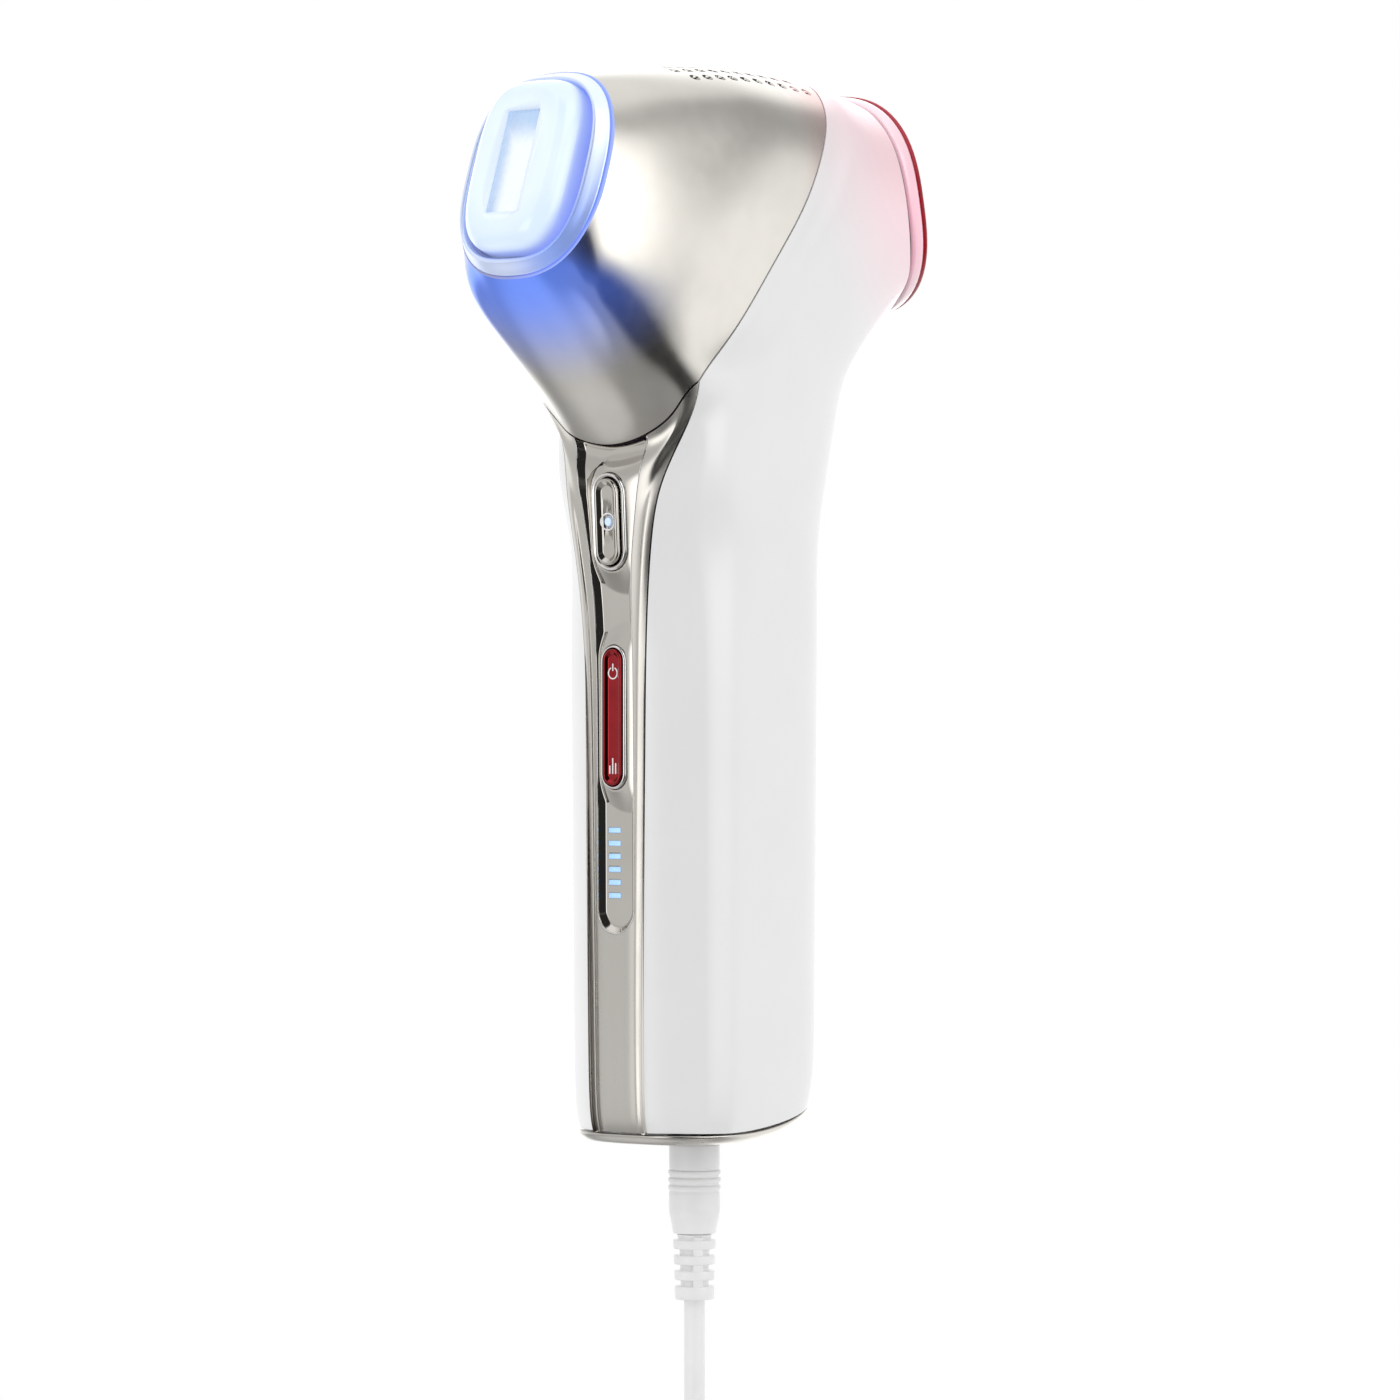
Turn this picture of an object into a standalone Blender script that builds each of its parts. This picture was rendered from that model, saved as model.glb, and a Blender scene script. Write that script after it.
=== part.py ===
"""Handheld light hair remover with a front flash head, a rear red light head and a corded adapter.

Every length below is in millimetres and turned into metres when a mesh is made. The device stands upright
with +Z up, the flash head faces -Y and the rear head faces +Y. The origin is the middle of the hand grip.
"""

import math

import bmesh
import bpy
import numpy as np
from mathutils import Matrix, Vector

MM = 0.001
GAP = 0.3

# Handle
GRIP_HALF_WIDTH = 20.5
GRIP_HALF_DEPTH = 24.6
SECTION_POWER = 3.0
BASE_Z = -85.4
SHELL = 1.8

# Flash head window
WINDOW_CENTRE = (0.0, -47.8, 102.1)
WINDOW_TILT = 18.8
WINDOW_HALF = (17.9, 21.5)
BLOCK_FACE = 7.5
FLASH_SIZE = (8.5, 21.4)

# Rear head
REAR_CENTRE = (0.0, 42.7, 100.1)
REAR_TILT = 12.35
REAR_HALF = (20.6, 23.0)
REAR_POWER = 2.73
REAR_DEPTH = 6.5

# Controls
BUTTON_Z = 35.1
ROCKER_Z = -3.4
LIGHT_ZS = [-25.7 - 2.58 * k for k in range(6)]
LIGHT_X = -0.8

# Lead
CORD_RADIUS = 2.1
FLOOR_Z = -188.0
COIL_CENTRE = (-15.0, 20.0)
COIL_RADIUS = 25.0
COIL_HALF = (8.5, 6.1)
COIL_Z = FLOOR_Z + COIL_HALF[1] + 1.2
ROW_STEP = 3.9
TIE_ANGLE = 215.0
ADAPTER_SIZE = (30.0, 44.0, 24.0)
ADAPTER_CENTRE = (44.0, -3.0, FLOOR_Z + 12.2)
RELIEF_LENGTH = 22.0

# Vents in the head's top: one row each side at every x, with the height of the surface there
VENT_ROWS = [(6.3, 125.2), (9.9, 124.4), (13.5, 122.2)]
VENT_FIRST_Y = -16.0
VENT_PITCH = 3.87
VENT_COUNT = 10
VENT_RADIUS = 0.95


# ---------------------------------------------------------------- scene and materials

for old in list(bpy.data.objects):
    bpy.data.objects.remove(old, do_unlink=True)

parts = bpy.data.collections.new("ipl_hair_remover")
cutters = bpy.data.collections.new("cutters")
bpy.context.scene.collection.children.link(parts)
bpy.context.scene.collection.children.link(cutters)
cutters.hide_render = True


def material(name, color, roughness=0.4, metallic=0.0, glow=0.0):
    made = bpy.data.materials.new(name)
    made.use_nodes = True
    shader = made.node_tree.nodes["Principled BSDF"]
    shader.inputs["Base Color"].default_value = (*color, 1.0)
    shader.inputs["Roughness"].default_value = roughness
    shader.inputs["Metallic"].default_value = metallic
    if glow:
        shader.inputs["Emission Color"].default_value = (*color, 1.0)
        shader.inputs["Emission Strength"].default_value = glow
    made.diffuse_color = (*color, 1.0)
    return made


CHAMPAGNE = material("champagne_metal", (0.58, 0.53, 0.49), 0.3, 1.0)
BRIGHT = material("bright_metal", (0.75, 0.73, 0.72), 0.15, 1.0)
WHITE = material("white_gloss", (0.85, 0.85, 0.86), 0.15)
PANEL = material("polished_champagne", (0.6, 0.56, 0.52), 0.08, 1.0)
RED = material("red_key", (0.27, 0.02, 0.025), 0.15)
ICE = material("ice_block", (0.62, 0.74, 0.95), 0.1, 0.0, 0.6)
FILTER = material("flash_filter", (0.8, 0.88, 1.0), 0.05, 0.0, 1.0)
PALE_BLUE = material("pale_blue_light", (0.55, 0.75, 1.0), 0.3, 0.0, 1.0)
MIRROR = material("reflector", (0.9, 0.9, 0.9), 0.05, 1.0)
LAMP = material("lamp_glass", (0.9, 0.92, 0.95), 0.05)
CERAMIC = material("ceramic", (0.85, 0.83, 0.78), 0.6)
ALUMINIUM = material("aluminium", (0.7, 0.71, 0.72), 0.35, 1.0)
BLACK = material("black_plastic", (0.03, 0.03, 0.035), 0.5)
GREY_RUBBER = material("grey_rubber", (0.35, 0.35, 0.37), 0.7)
PINK = material("pink_cap", (0.9, 0.72, 0.74), 0.2)
LENS = material("red_lens", (0.45, 0.02, 0.03), 0.1, 0.0, 0.4)
RED_LED = material("red_led", (0.9, 0.1, 0.1), 0.2, 0.0, 2.0)
BOARD = material("green_board", (0.03, 0.18, 0.08), 0.45)
BLUE_SLEEVE = material("capacitor_sleeve", (0.04, 0.08, 0.25), 0.3)
STEEL = material("steel", (0.5, 0.5, 0.5), 0.3, 1.0)
NICKEL = material("nickel", (0.7, 0.68, 0.62), 0.2, 1.0)
LEAD = material("white_lead", (0.82, 0.82, 0.82), 0.45)


# ---------------------------------------------------------------- small tools


def place(obj, mat, holder=parts):
    """Moves an object into its collection and gives it its material."""
    for owner in list(obj.users_collection):
        owner.objects.unlink(obj)
    holder.objects.link(obj)
    obj.data.materials.clear()
    obj.data.materials.append(mat)
    if holder is cutters:
        obj.hide_render = True
        obj.display_type = "WIRE"
    return obj


def frame_at(centre, x_axis=(1, 0, 0), y_axis=(0, 1, 0)):
    """A matrix in metres with its origin at centre (mm) and the given first two axes."""
    x_dir = Vector(x_axis).normalized()
    y_dir = Vector(y_axis).normalized()
    z_dir = x_dir.cross(y_dir)
    turn = Matrix((x_dir, y_dir, z_dir)).transposed().to_4x4()
    return Matrix.Translation(Vector(centre) * MM) @ turn


def tilted(centre, degrees, facing):
    """The frame of a head's face: Z out of the face, Y up in it. facing is -1 in front, 1 behind."""
    lean = math.radians(degrees)
    up = (0.0, -facing * math.sin(lean), math.cos(lean))
    return frame_at(centre, (-facing, 0, 0), up)


WINDOW = tilted(WINDOW_CENTRE, WINDOW_TILT, -1)
REAR = tilted(REAR_CENTRE, REAR_TILT, 1)
FRONT = frame_at((0, -GRIP_HALF_DEPTH, 0), (1, 0, 0), (0, 0, 1))


def mesh_object(name, points, faces, mat, where=None, holder=parts):
    mesh = bpy.data.meshes.new(name)
    mesh.from_pydata([tuple(np.array(p) * MM) for p in points], [], faces)
    mesh.validate()
    obj = bpy.data.objects.new(name, mesh)
    bpy.context.scene.collection.objects.link(obj)
    if where is not None:
        obj.matrix_world = where
    return place(obj, mat, holder)


def box(name, size, centre, mat, where=None, bevel=0.0, holder=parts):
    """A box of the given size in mm, with its centre at centre in the frame `where`."""
    bpy.ops.mesh.primitive_cube_add(size=1)
    obj = bpy.context.object
    obj.name = name
    obj.data.transform(Matrix.Diagonal((*[s * MM for s in size], 1)))
    obj.matrix_world = (where or Matrix()) @ Matrix.Translation(Vector(centre) * MM)
    if bevel:
        edge = obj.modifiers.new("edge", "BEVEL")
        edge.width = bevel * MM
        edge.segments = 1
    return place(obj, mat, holder)


def cylinder(name, radius, length, centre, mat, where=None, sides=20, bevel=0.0, holder=parts):
    """A cylinder along the frame's Z."""
    bpy.ops.mesh.primitive_cylinder_add(vertices=sides, radius=radius * MM, depth=length * MM)
    obj = bpy.context.object
    obj.name = name
    obj.matrix_world = (where or Matrix()) @ Matrix.Translation(Vector(centre) * MM)
    if bevel:
        edge = obj.modifiers.new("edge", "BEVEL")
        edge.width = bevel * MM
        edge.segments = 1
        edge.limit_method = "ANGLE"
    obj.data.shade_smooth()
    obj.data.set_sharp_from_angle(angle=math.radians(40))
    return place(obj, mat, holder)


def turned(name, profile, mat, where=None, steps=20, closed=False, holder=parts):
    """A turned solid: profile holds (radius, height) pairs from the top down its outer side."""
    mesh = bpy.data.meshes.new(name)
    points = [(r * MM, 0, z * MM) for r, z in profile]
    edges = [(k, k + 1) for k in range(len(points) - 1)]
    if closed:
        edges.append((len(points) - 1, 0))
    mesh.from_pydata(points, edges, [])
    obj = bpy.data.objects.new(name, mesh)
    bpy.context.scene.collection.objects.link(obj)
    screw = obj.modifiers.new("turn", "SCREW")
    screw.steps = steps
    screw.render_steps = steps
    screw.use_merge_vertices = True
    screw.merge_threshold = 0.00001
    if where is not None:
        obj.matrix_world = where
    return place(obj, mat, holder)


def plate(name, outline, low, high, mat, where=None, holder=parts, bevel=0.0):
    """A flat outline in the frame's XY plane, thick from low to high along its Z."""
    curve = bpy.data.curves.new(name, "CURVE")
    curve.dimensions = "2D"
    curve.fill_mode = "BOTH"
    curve.extrude = (high - low) / 2 * MM
    spline = curve.splines.new("POLY")
    spline.points.add(len(outline) - 1)
    for point, (x, y) in zip(spline.points, outline):
        point.co = (x * MM, y * MM, 0, 1)
    spline.use_cyclic_u = True
    guide = bpy.data.objects.new(name + "_outline", curve)
    bpy.context.scene.collection.objects.link(guide)
    mesh = bpy.data.meshes.new_from_object(guide.evaluated_get(bpy.context.evaluated_depsgraph_get()))
    bpy.data.objects.remove(guide, do_unlink=True)
    work = bmesh.new()
    work.from_mesh(mesh)
    bmesh.ops.remove_doubles(work, verts=work.verts, dist=0.000005)
    bmesh.ops.recalc_face_normals(work, faces=work.faces)
    work.to_mesh(mesh)
    work.free()
    obj = bpy.data.objects.new(name, mesh)
    bpy.context.scene.collection.objects.link(obj)
    obj.matrix_world = (where or Matrix()) @ Matrix.Translation((0, 0, (high + low) / 2 * MM))
    if bevel:
        edge = obj.modifiers.new("edge", "BEVEL")
        edge.width = bevel * MM
        edge.segments = 1
        edge.limit_method = "ANGLE"
        edge.angle_limit = math.radians(60)
    return place(obj, mat, holder)


def pill(width, height, corner=None, steps=6, centre=(0.0, 0.0)):
    """A rounded rectangle's outline; a corner of half the width gives round ends."""
    corner = min(width, height) / 2 - 0.001 if corner is None else corner
    points = []
    for sx, sy, start in ((1, -1, -90), (1, 1, 0), (-1, 1, 90), (-1, -1, 180)):
        cx = centre[0] + sx * (width / 2 - corner)
        cy = centre[1] + sy * (height / 2 - corner)
        for k in range(steps + 1):
            angle = math.radians(start + 90 * k / steps)
            points.append((cx + corner * math.cos(angle), cy + corner * math.sin(angle)))
    return points


def oval(half, power, height, count=32, shift=0.0):
    """A superellipse ring at one height, counter-clockwise in the frame's XY plane."""
    ring = []
    for k in range(count):
        angle = 2 * math.pi * k / count
        c, s = math.cos(angle), math.sin(angle)
        x = half[0] * math.copysign(abs(c) ** (2 / power), c)
        y = half[1] * math.copysign(abs(s) ** (2 / power), s)
        ring.append((x, y + shift, height))
    return ring


def lofted(name, rings, mat, where=None, loop=False, holder=parts):
    """A loft through rings of equal count: capped at both ends, or closed into a hoop when loop is set."""
    count = len(rings[0])
    points = [p for ring in rings for p in ring]
    faces = []
    last = len(rings) if loop else len(rings) - 1
    for r in range(last):
        a, b = r * count, ((r + 1) % len(rings)) * count
        for k in range(count):
            n = (k + 1) % count
            faces.append((a + k, a + n, b + n, b + k))
    if not loop:
        faces.append(tuple(reversed(range(count))))
        faces.append(tuple(range((len(rings) - 1) * count, len(rings) * count)))
    obj = mesh_object(name, points, faces, mat, where, holder)
    work = bmesh.new()
    work.from_mesh(obj.data)
    bmesh.ops.recalc_face_normals(work, faces=work.faces)
    work.to_mesh(obj.data)
    work.free()
    obj.data.shade_smooth()
    obj.data.set_sharp_from_angle(angle=math.radians(35))
    return obj


def boolean(obj, other, operation="DIFFERENCE"):
    cut = obj.modifiers.new(operation.lower(), "BOOLEAN")
    cut.operation = operation
    cut.object = other
    return cut


# ---------------------------------------------------------------- outer surface
# One coarse cage covers the whole outside. Its points are named by (region, row, column) on the +X side,
# and the -X side is its mirror image. Columns 0-4 cross the front strip from the middle to its edge,
# columns 4-10 go round the white side to the middle of the back.

ROW_EDGE_Z = [BASE_Z, -79.0, -60.0, -35.0, -8.0, 14.0, 30.0, 42.0, 52.5]
ROW_MID_Z = [BASE_Z, -79.0, -60.0, -35.0, -8.0, 13.0, 27.0, 37.0, 44.5]
ROW_BACK_Z = [BASE_Z, -79.0, -60.0, -35.0, -8.0, 14.0, 30.0]
STRIP_HALF = [6.5, 6.7, 6.8, 7.1, 7.5, 8.2, 9.9, 12.2, 16.0]
ACROSS = [0.0, 0.27, 0.53, 0.77, 1.0]
DROP = [0.0, 0.06, 0.21, 0.5, 1.0]
TONGUE = [
    (0, -26.2, 50.1),
    (5.6, -26.1, 50.8),
    (10.8, -25.7, 52.7),
    (15.6, -24.8, 56.3),
    (20.5, -22.9, 62.3),
]
TOP_ROW = 9
SPLIT = [
    (20.3, -11.5, 73.0),
    (21.1, -0.5, 86.5),
    (21.2, 9.0, 98.5),
    (20.7, 15.2, 109.5),
    (17.5, 19.9, 118.0),
    (9.5, 24.8, 123.9),
    (0, 27.5, 124.9),
]
SIDE_SHARES = [(0.86, -0.714), (0.995, -0.25), (0.985, 0.36), (0.83, 0.754), (0.45, 0.969), (0.0, 1.0)]
UPPER_SIDE = [
    [
        (19.5, -18.4, 42.3), (21.0, -6.0, 42.5), (20.5, 9.5, 43.0),
        (17.0, 21.3, 43.0), (9.3, 26.0, 43.0), (0, 27.0, 43.0),
    ],
    [
        (20.4, -17.0, 53.0), (21.3, -4.0, 54.0), (20.6, 12.5, 55.0),
        (17.0, 24.5, 56.0), (9.4, 29.3, 56.0), (0, 30.2, 56.0),
    ],
    [
        (21.3, -9.8, 62.8), (21.5, 4.0, 64.0), (20.5, 19.0, 66.0),
        (17.0, 29.5, 67.5), (9.5, 35.0, 68.0), (0, 36.3, 68.0),
    ],
]
SHOULDER = [
    [(21.4, 2.0, 74.5), (21.2, 21.0, 78.0)],
    [(22.0, 10.0, 87.5), (21.9, 26.5, 88.3)],
    [(22.1, 19.0, 99.0), (22.0, 30.5, 99.6)],
    [(21.4, 24.0, 110.0), (20.8, 32.5, 110.6)],
    [(17.6, 26.6, 117.9), (16.8, 33.0, 117.8)],
    [(9.8, 29.5, 123.4), (10.0, 33.8, 122.4)],
    [(0, 31.2, 124.7), (0, 34.8, 123.8)],
]
COLLAR_ANGLES = [-90, -72, -55, -38, -22, 0, 22, 45, 67, 90]
BEZEL_ANGLES = [-90, -76, -62, -47, -32, -16, 0, 17, 35, 52, 71, 90]
HEAD_STEPS = [0.28, 0.55, 0.8]
CHIN_SHARE = [0.25, 0.75, 0.95]
HEAD_BULGE = [
    (0, 0, 0),
    (0.2, -0.2, -0.2),
    (1.0, -0.6, -0.4),
    (1.7, -1.5, -1.3),
    (1.8, -1.0, -0.7),
    (2.6, -1.4, -1.1),
    (2.9, 0, 0),
    (2.9, 0, 0.5),
    (2.9, 0, 1.2),
    (2.4, 0, 1.8),
    (0.9, 0, 2.1),
    (0, 0, 2.1),
]


def half_width(z):
    return float(np.interp(z, [-86, -79, -60, 0, 40, 62], [19.0, 19.9, 20.1, GRIP_HALF_WIDTH, 20.8, 21.3]))


def half_depth(z):
    return float(np.interp(z, [-86, -79, -60, 0, 40, 62], [22.7, 23.8, 24.2, GRIP_HALF_DEPTH, 24.9, 25.2]))


def front_depth(z):
    deeper = float(np.interp(z, [-8, 14, 28, 38, 50], [0.0, 0.3, 1.2, 1.8, 1.9]))
    return half_depth(z) + deeper


def front_y(x, z):
    share = min(abs(x) / half_width(z), 1.0)
    return -front_depth(z) * (1 - share**SECTION_POWER) ** (1 / SECTION_POWER)


def base_edge(y):
    return BASE_Z + 3.5 * max(0.0, (y + 14) / 27) ** 2.5


def face_ring(frame_centre, tilt, facing, half, power, degrees):
    """The +X side's point of a head face's outline, at an angle counted from its side to its top."""
    angle = math.radians(degrees)
    c, s = max(math.cos(angle), 0.0), math.sin(angle)
    x = half[0] * c ** (2 / power)
    v = half[1] * math.copysign(abs(s) ** (2 / power), s)
    lean = math.radians(tilt)
    y = frame_centre[1] - facing * v * math.sin(lean)
    return (x if c > 1e-9 else 0.0, y, frame_centre[2] + v * math.cos(lean))


def surface_targets():
    """Where the finished surface passes, for each named cage point of the +X side."""
    aims = {}
    for r, edge_z in enumerate(ROW_EDGE_Z):
        for c in range(5):
            x = STRIP_HALF[r] * ACROSS[c]
            z = ROW_MID_Z[r] + (edge_z - ROW_MID_Z[r]) * DROP[c]
            aims["s", r, c] = (x, front_y(x, z), z)
    for c in range(5):
        aims["s", TOP_ROW, c] = TONGUE[c]
    for r, z in enumerate(ROW_BACK_Z):
        for k, (sx, sy) in enumerate(SIDE_SHARES):
            aims["s", r, 5 + k] = (half_width(z) * sx, half_depth(z) * sy, z)
    for r in range(3):
        for k in range(6):
            aims["s", 7 + r, 5 + k] = UPPER_SIDE[r][k]
    for r in range(2):
        for c in range(11):
            x, y, _ = aims["s", r, c]
            aims["s", r, c] = (x, y, base_edge(y) + 6.4 * r)
    for k in range(7):
        aims["s", TOP_ROW + 1 + k, 4] = SPLIT[k]
        aims["s", TOP_ROW + 1 + k, 5] = SHOULDER[k][0]
        aims["s", TOP_ROW + 1 + k, 6] = SHOULDER[k][1]
    ring = [face_ring(REAR_CENTRE, REAR_TILT, 1, REAR_HALF, REAR_POWER, a) for a in COLLAR_ANGLES]
    for k in range(3):
        aims["s", TOP_ROW + 1, 10 - k] = ring[k]
    for k in range(7):
        aims["s", TOP_ROW + 1 + k, 7] = ring[3 + k]
    outer = [aims["s", TOP_ROW, c] for c in range(5)] + SPLIT
    for q, angle in enumerate(BEZEL_ANGLES):
        a = np.array(outer[q])
        b = np.array(face_ring(WINDOW_CENTRE, WINDOW_TILT, -1, WINDOW_HALF, 2.5, angle))
        aims["h", 4, q] = tuple(b)
        for m, f in enumerate(HEAD_STEPS):
            share = CHIN_SHARE[m] if q < 5 else 4 * f * (1 - f)
            aims["h", 1 + m, q] = tuple(a + (b - a) * f + np.array(HEAD_BULGE[q]) * share)
    return aims


def head_key(m, q):
    if m:
        return ("h", m, q)
    return ("s", TOP_ROW, q) if q < 5 else ("s", TOP_ROW - 4 + q, 4)


def surface_faces():
    """Quads of the +X side, each with its region: 0 head, 1 front strip, 2 white housing."""
    quads = []
    for m in range(4):
        for q in range(11):
            corners = [head_key(m, q), head_key(m, q + 1), head_key(m + 1, q + 1), head_key(m + 1, q)]
            quads.append((0, corners))
    for r in range(TOP_ROW + 7):
        columns = range(10) if r < TOP_ROW else range(4, 10) if r == TOP_ROW else range(4, 7)
        for c in columns:
            region = 1 if c < 4 else 2
            quads.append((region, [("s", r, c), ("s", r, c + 1), ("s", r + 1, c + 1), ("s", r + 1, c)]))
    return quads


def limit_positions(points, faces):
    """Where each cage point lands on the smooth surface that Catmull-Clark subdivision converges to."""
    count = len(points)
    edge_faces = {}
    for face in faces:
        for a, b in zip(face, face[1:] + face[:1]):
            edge_faces.setdefault((min(a, b), max(a, b)), []).append(face)
    rim = [[] for _ in range(count)]
    near = [[] for _ in range(count)]
    for (a, b), owners in edge_faces.items():
        near[a].append(b)
        near[b].append(a)
        if len(owners) == 1:
            rim[a].append(b)
            rim[b].append(a)
    across = [[] for _ in range(count)]
    for face in faces:
        for k in range(4):
            across[face[k]].append(face[(k + 2) % 4])
    limit = np.empty_like(points)
    for k in range(count):
        if rim[k]:
            limit[k] = (4 * points[k] + points[rim[k][0]] + points[rim[k][1]]) / 6
        else:
            n = len(near[k])
            total = n * n * points[k] + 4 * points[near[k]].sum(0) + points[across[k]].sum(0)
            limit[k] = total / (n * (n + 5))
    return limit


def build_surface(levels):
    """The whole outside as one subdivided mesh: points in mm, quads and the region of each quad."""
    aims = surface_targets()
    index, points = {}, []
    for key, aim in aims.items():
        index[1, key] = len(points)
        points.append(aim)
        if aim[0] < 1e-6:
            index[-1, key] = index[1, key]
        else:
            index[-1, key] = len(points)
            points.append((-aim[0], aim[1], aim[2]))
    faces, regions = [], []
    for region, keys in surface_faces():
        faces.append([index[1, key] for key in keys])
        faces.append([index[-1, key] for key in reversed(keys)])
        regions += [region, region]
    goal = np.array(points, float)
    cage = goal.copy()
    for _ in range(12):
        cage += goal - limit_positions(cage, faces)
    mesh = bpy.data.meshes.new("outer_cage")
    mesh.from_pydata([tuple(p * MM) for p in cage], [], faces)
    for polygon, region in zip(mesh.polygons, regions):
        polygon.material_index = region
    obj = bpy.data.objects.new("outer_cage", mesh)
    for _ in range(3):
        mesh.materials.append(WHITE)
    bpy.context.scene.collection.objects.link(obj)
    smooth = obj.modifiers.new("smooth", "SUBSURF")
    smooth.levels = levels
    smooth.render_levels = levels
    bpy.context.view_layer.update()
    made = bpy.data.meshes.new_from_object(obj.evaluated_get(bpy.context.evaluated_depsgraph_get()))
    bpy.data.objects.remove(obj, do_unlink=True)
    return made


def region_sheet(name, source, region, mat, pull=GAP / 2, outside=0.0):
    """One region of the outer surface as an open sheet, its edges drawn in and raised a little."""
    work = bmesh.new()
    work.from_mesh(source)
    others = [f for f in work.faces if f.material_index != region]
    bmesh.ops.delete(work, geom=others, context="FACES")
    work.normal_update()
    moves = {}
    for vert in work.verts:
        edges = [e for e in vert.link_edges if e.is_boundary]
        if len(edges) != 2:
            continue
        dirs = [(e.other_vert(vert).co - vert.co).normalized() for e in edges]
        inward = Vector()
        for edge in edges:
            along = (edge.verts[1].co - edge.verts[0].co).normalized()
            side = along.cross(edge.link_faces[0].normal)
            if side.dot(edge.link_faces[0].calc_center_median() - edge.verts[0].co) < 0:
                side.negate()
            inward += side
        inward.normalize()
        cosine = max(-1.0, min(1.0, dirs[0].dot(dirs[1])))
        half_angle = 0.5 * math.acos(cosine)
        shift = inward * pull * MM / max(math.sin(half_angle), 0.2)
        moves[vert] = shift
    for vert, shift in moves.items():
        vert.co += shift
    if outside:
        for vert in work.verts:
            vert.co += vert.normal * outside * MM
    mesh = bpy.data.meshes.new(name)
    work.to_mesh(mesh)
    work.free()
    obj = bpy.data.objects.new(name, mesh)
    bpy.context.scene.collection.objects.link(obj)
    place(obj, mat)
    for polygon in mesh.polygons:
        polygon.material_index = 0
    mesh.shade_smooth()
    return obj


def thicken(obj, depth):
    shell = obj.modifiers.new("shell", "SOLIDIFY")
    shell.thickness = depth * MM
    shell.offset = -1
    shell.use_even_offset = True
    return obj


# ---------------------------------------------------------------- outside shells

OUTER = build_surface(1)
head_shell = thicken(region_sheet("head_shell", OUTER, 0, CHAMPAGNE), SHELL)
front_strip = thicken(region_sheet("front_strip", OUTER, 1, CHAMPAGNE), 1.6)
control_panel = thicken(region_sheet("control_panel", OUTER, 1, PANEL, outside=-0.4), 1.4)
rear_housing = thicken(region_sheet("rear_housing", OUTER, 2, WHITE), SHELL)


def vent_cutters():
    """Rows of small holes along the head's top, each row the same on both sides."""
    work = bmesh.new()
    radius = VENT_RADIUS * MM
    for row, (x, z) in enumerate(VENT_ROWS):
        first = VENT_FIRST_Y - VENT_PITCH / 2 * (row % 2)
        for side in (1, -1):
            turn = Matrix.Rotation(side * math.atan2(x, z - 104), 4, "Y")
            for k in range(VENT_COUNT):
                at = Matrix.Translation(Vector((side * x, first + VENT_PITCH * k, z)) * MM)
                bmesh.ops.create_cone(
                    work,
                    cap_ends=True,
                    segments=6,
                    radius1=radius,
                    radius2=radius,
                    depth=9 * MM,
                    matrix=at @ turn,
                )
    mesh = bpy.data.meshes.new("vent_holes")
    work.to_mesh(mesh)
    work.free()
    obj = bpy.data.objects.new("vent_holes", mesh)
    bpy.context.scene.collection.objects.link(obj)
    return place(obj, BLACK, cutters)


boolean(head_shell, vent_cutters())


def panel_outline(extra):
    """The inset panel, seen from the front: round below, wider above, running up under the tongue."""
    right = [(9.9 + extra, 58.0), (9.6 + extra, 51.5)]
    right += [(8.6 + extra, 46), (7.4 + extra, 40), (6.3 + extra, 33), (5.5 + extra, 27), (4.9 + extra, 20)]
    low = []
    for k in range(9):
        angle = math.radians(-180 * k / 8)
        low.append(((4.9 + extra) * math.cos(angle), -41.3 + (4.9 + extra) * math.sin(angle)))
    left = [(-x, z) for x, z in reversed(right)]
    return right + low + left


boolean(front_strip, plate("panel_opening", panel_outline(0.15), -8, 8, BLACK, FRONT, cutters))
panel_shape = plate("panel_shape", panel_outline(-0.15), -9, 9, BLACK, FRONT, cutters)
boolean(control_panel, panel_shape, "INTERSECT")


def cap_ring(a, b, height, follow=1.0, power=SECTION_POWER):
    """A ring of the base cap; follow says how much of the edge's rise towards the back it takes."""
    return [(x, y, height + (base_edge(y) - BASE_Z) * follow) for x, y, _ in oval((a, b), power, 0, 28)]


lofted(
    "base_cap",
    [
        cap_ring(18.7, 22.4, BASE_Z - 0.3),
        cap_ring(18.3, 22.0, BASE_Z - 1.3),
        cap_ring(16.9, 20.6, BASE_Z - 2.2),
        cap_ring(11.0, 14.0, -88.0, 0.8),
        cap_ring(3.4, 3.4, -88.2, 0.0, 2.0),
        cap_ring(3.4, 3.4, -86.6, 0.0, 2.0),
        cap_ring(10.8, 13.8, -86.4, 0.8),
        cap_ring(16.4, 20.1, BASE_Z - 0.9),
        cap_ring(17.0, 20.7, BASE_Z - 0.3),
    ],
    CHAMPAGNE,
    loop=True,
)


# ---------------------------------------------------------------- flash head

lofted(
    "window_bezel",
    [
        oval((17.5, 21.1), 2.5, 0.35),
        oval((15.8, 19.6), 2.7, 2.7),
        oval((15.2, 19.0), 2.85, 2.94),
        oval((14.6, 18.4), 2.95, 2.6),
        oval((14.5, 18.3), 3.0, -3.0),
        oval((15.4, 19.2), 2.85, -3.0),
        oval((15.4, 19.2), 2.85, 0.35),
    ],
    BRIGHT,
    WINDOW,
    loop=True,
)
cooling_block = lofted(
    "cooling_block",
    [
        oval((12.3, 17.9), 3.4, -3.0, shift=0.3),
        oval((12.3, 17.9), 3.4, 3.4, shift=0.3),
        oval((11.3, 17.0), 3.4, 5.6, shift=0.3),
        oval((9.9, 15.7), 3.4, 7.1, shift=0.3),
        oval((9.2, 15.1), 3.5, BLOCK_FACE, shift=0.3),
    ],
    ICE,
    WINDOW,
)
flash_opening = pill(FLASH_SIZE[0] + 2 * GAP, FLASH_SIZE[1] + 2 * GAP, 1.0, 2)
boolean(cooling_block, plate("flash_opening", flash_opening, -5, 10, BLACK, WINDOW, cutters))
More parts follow.
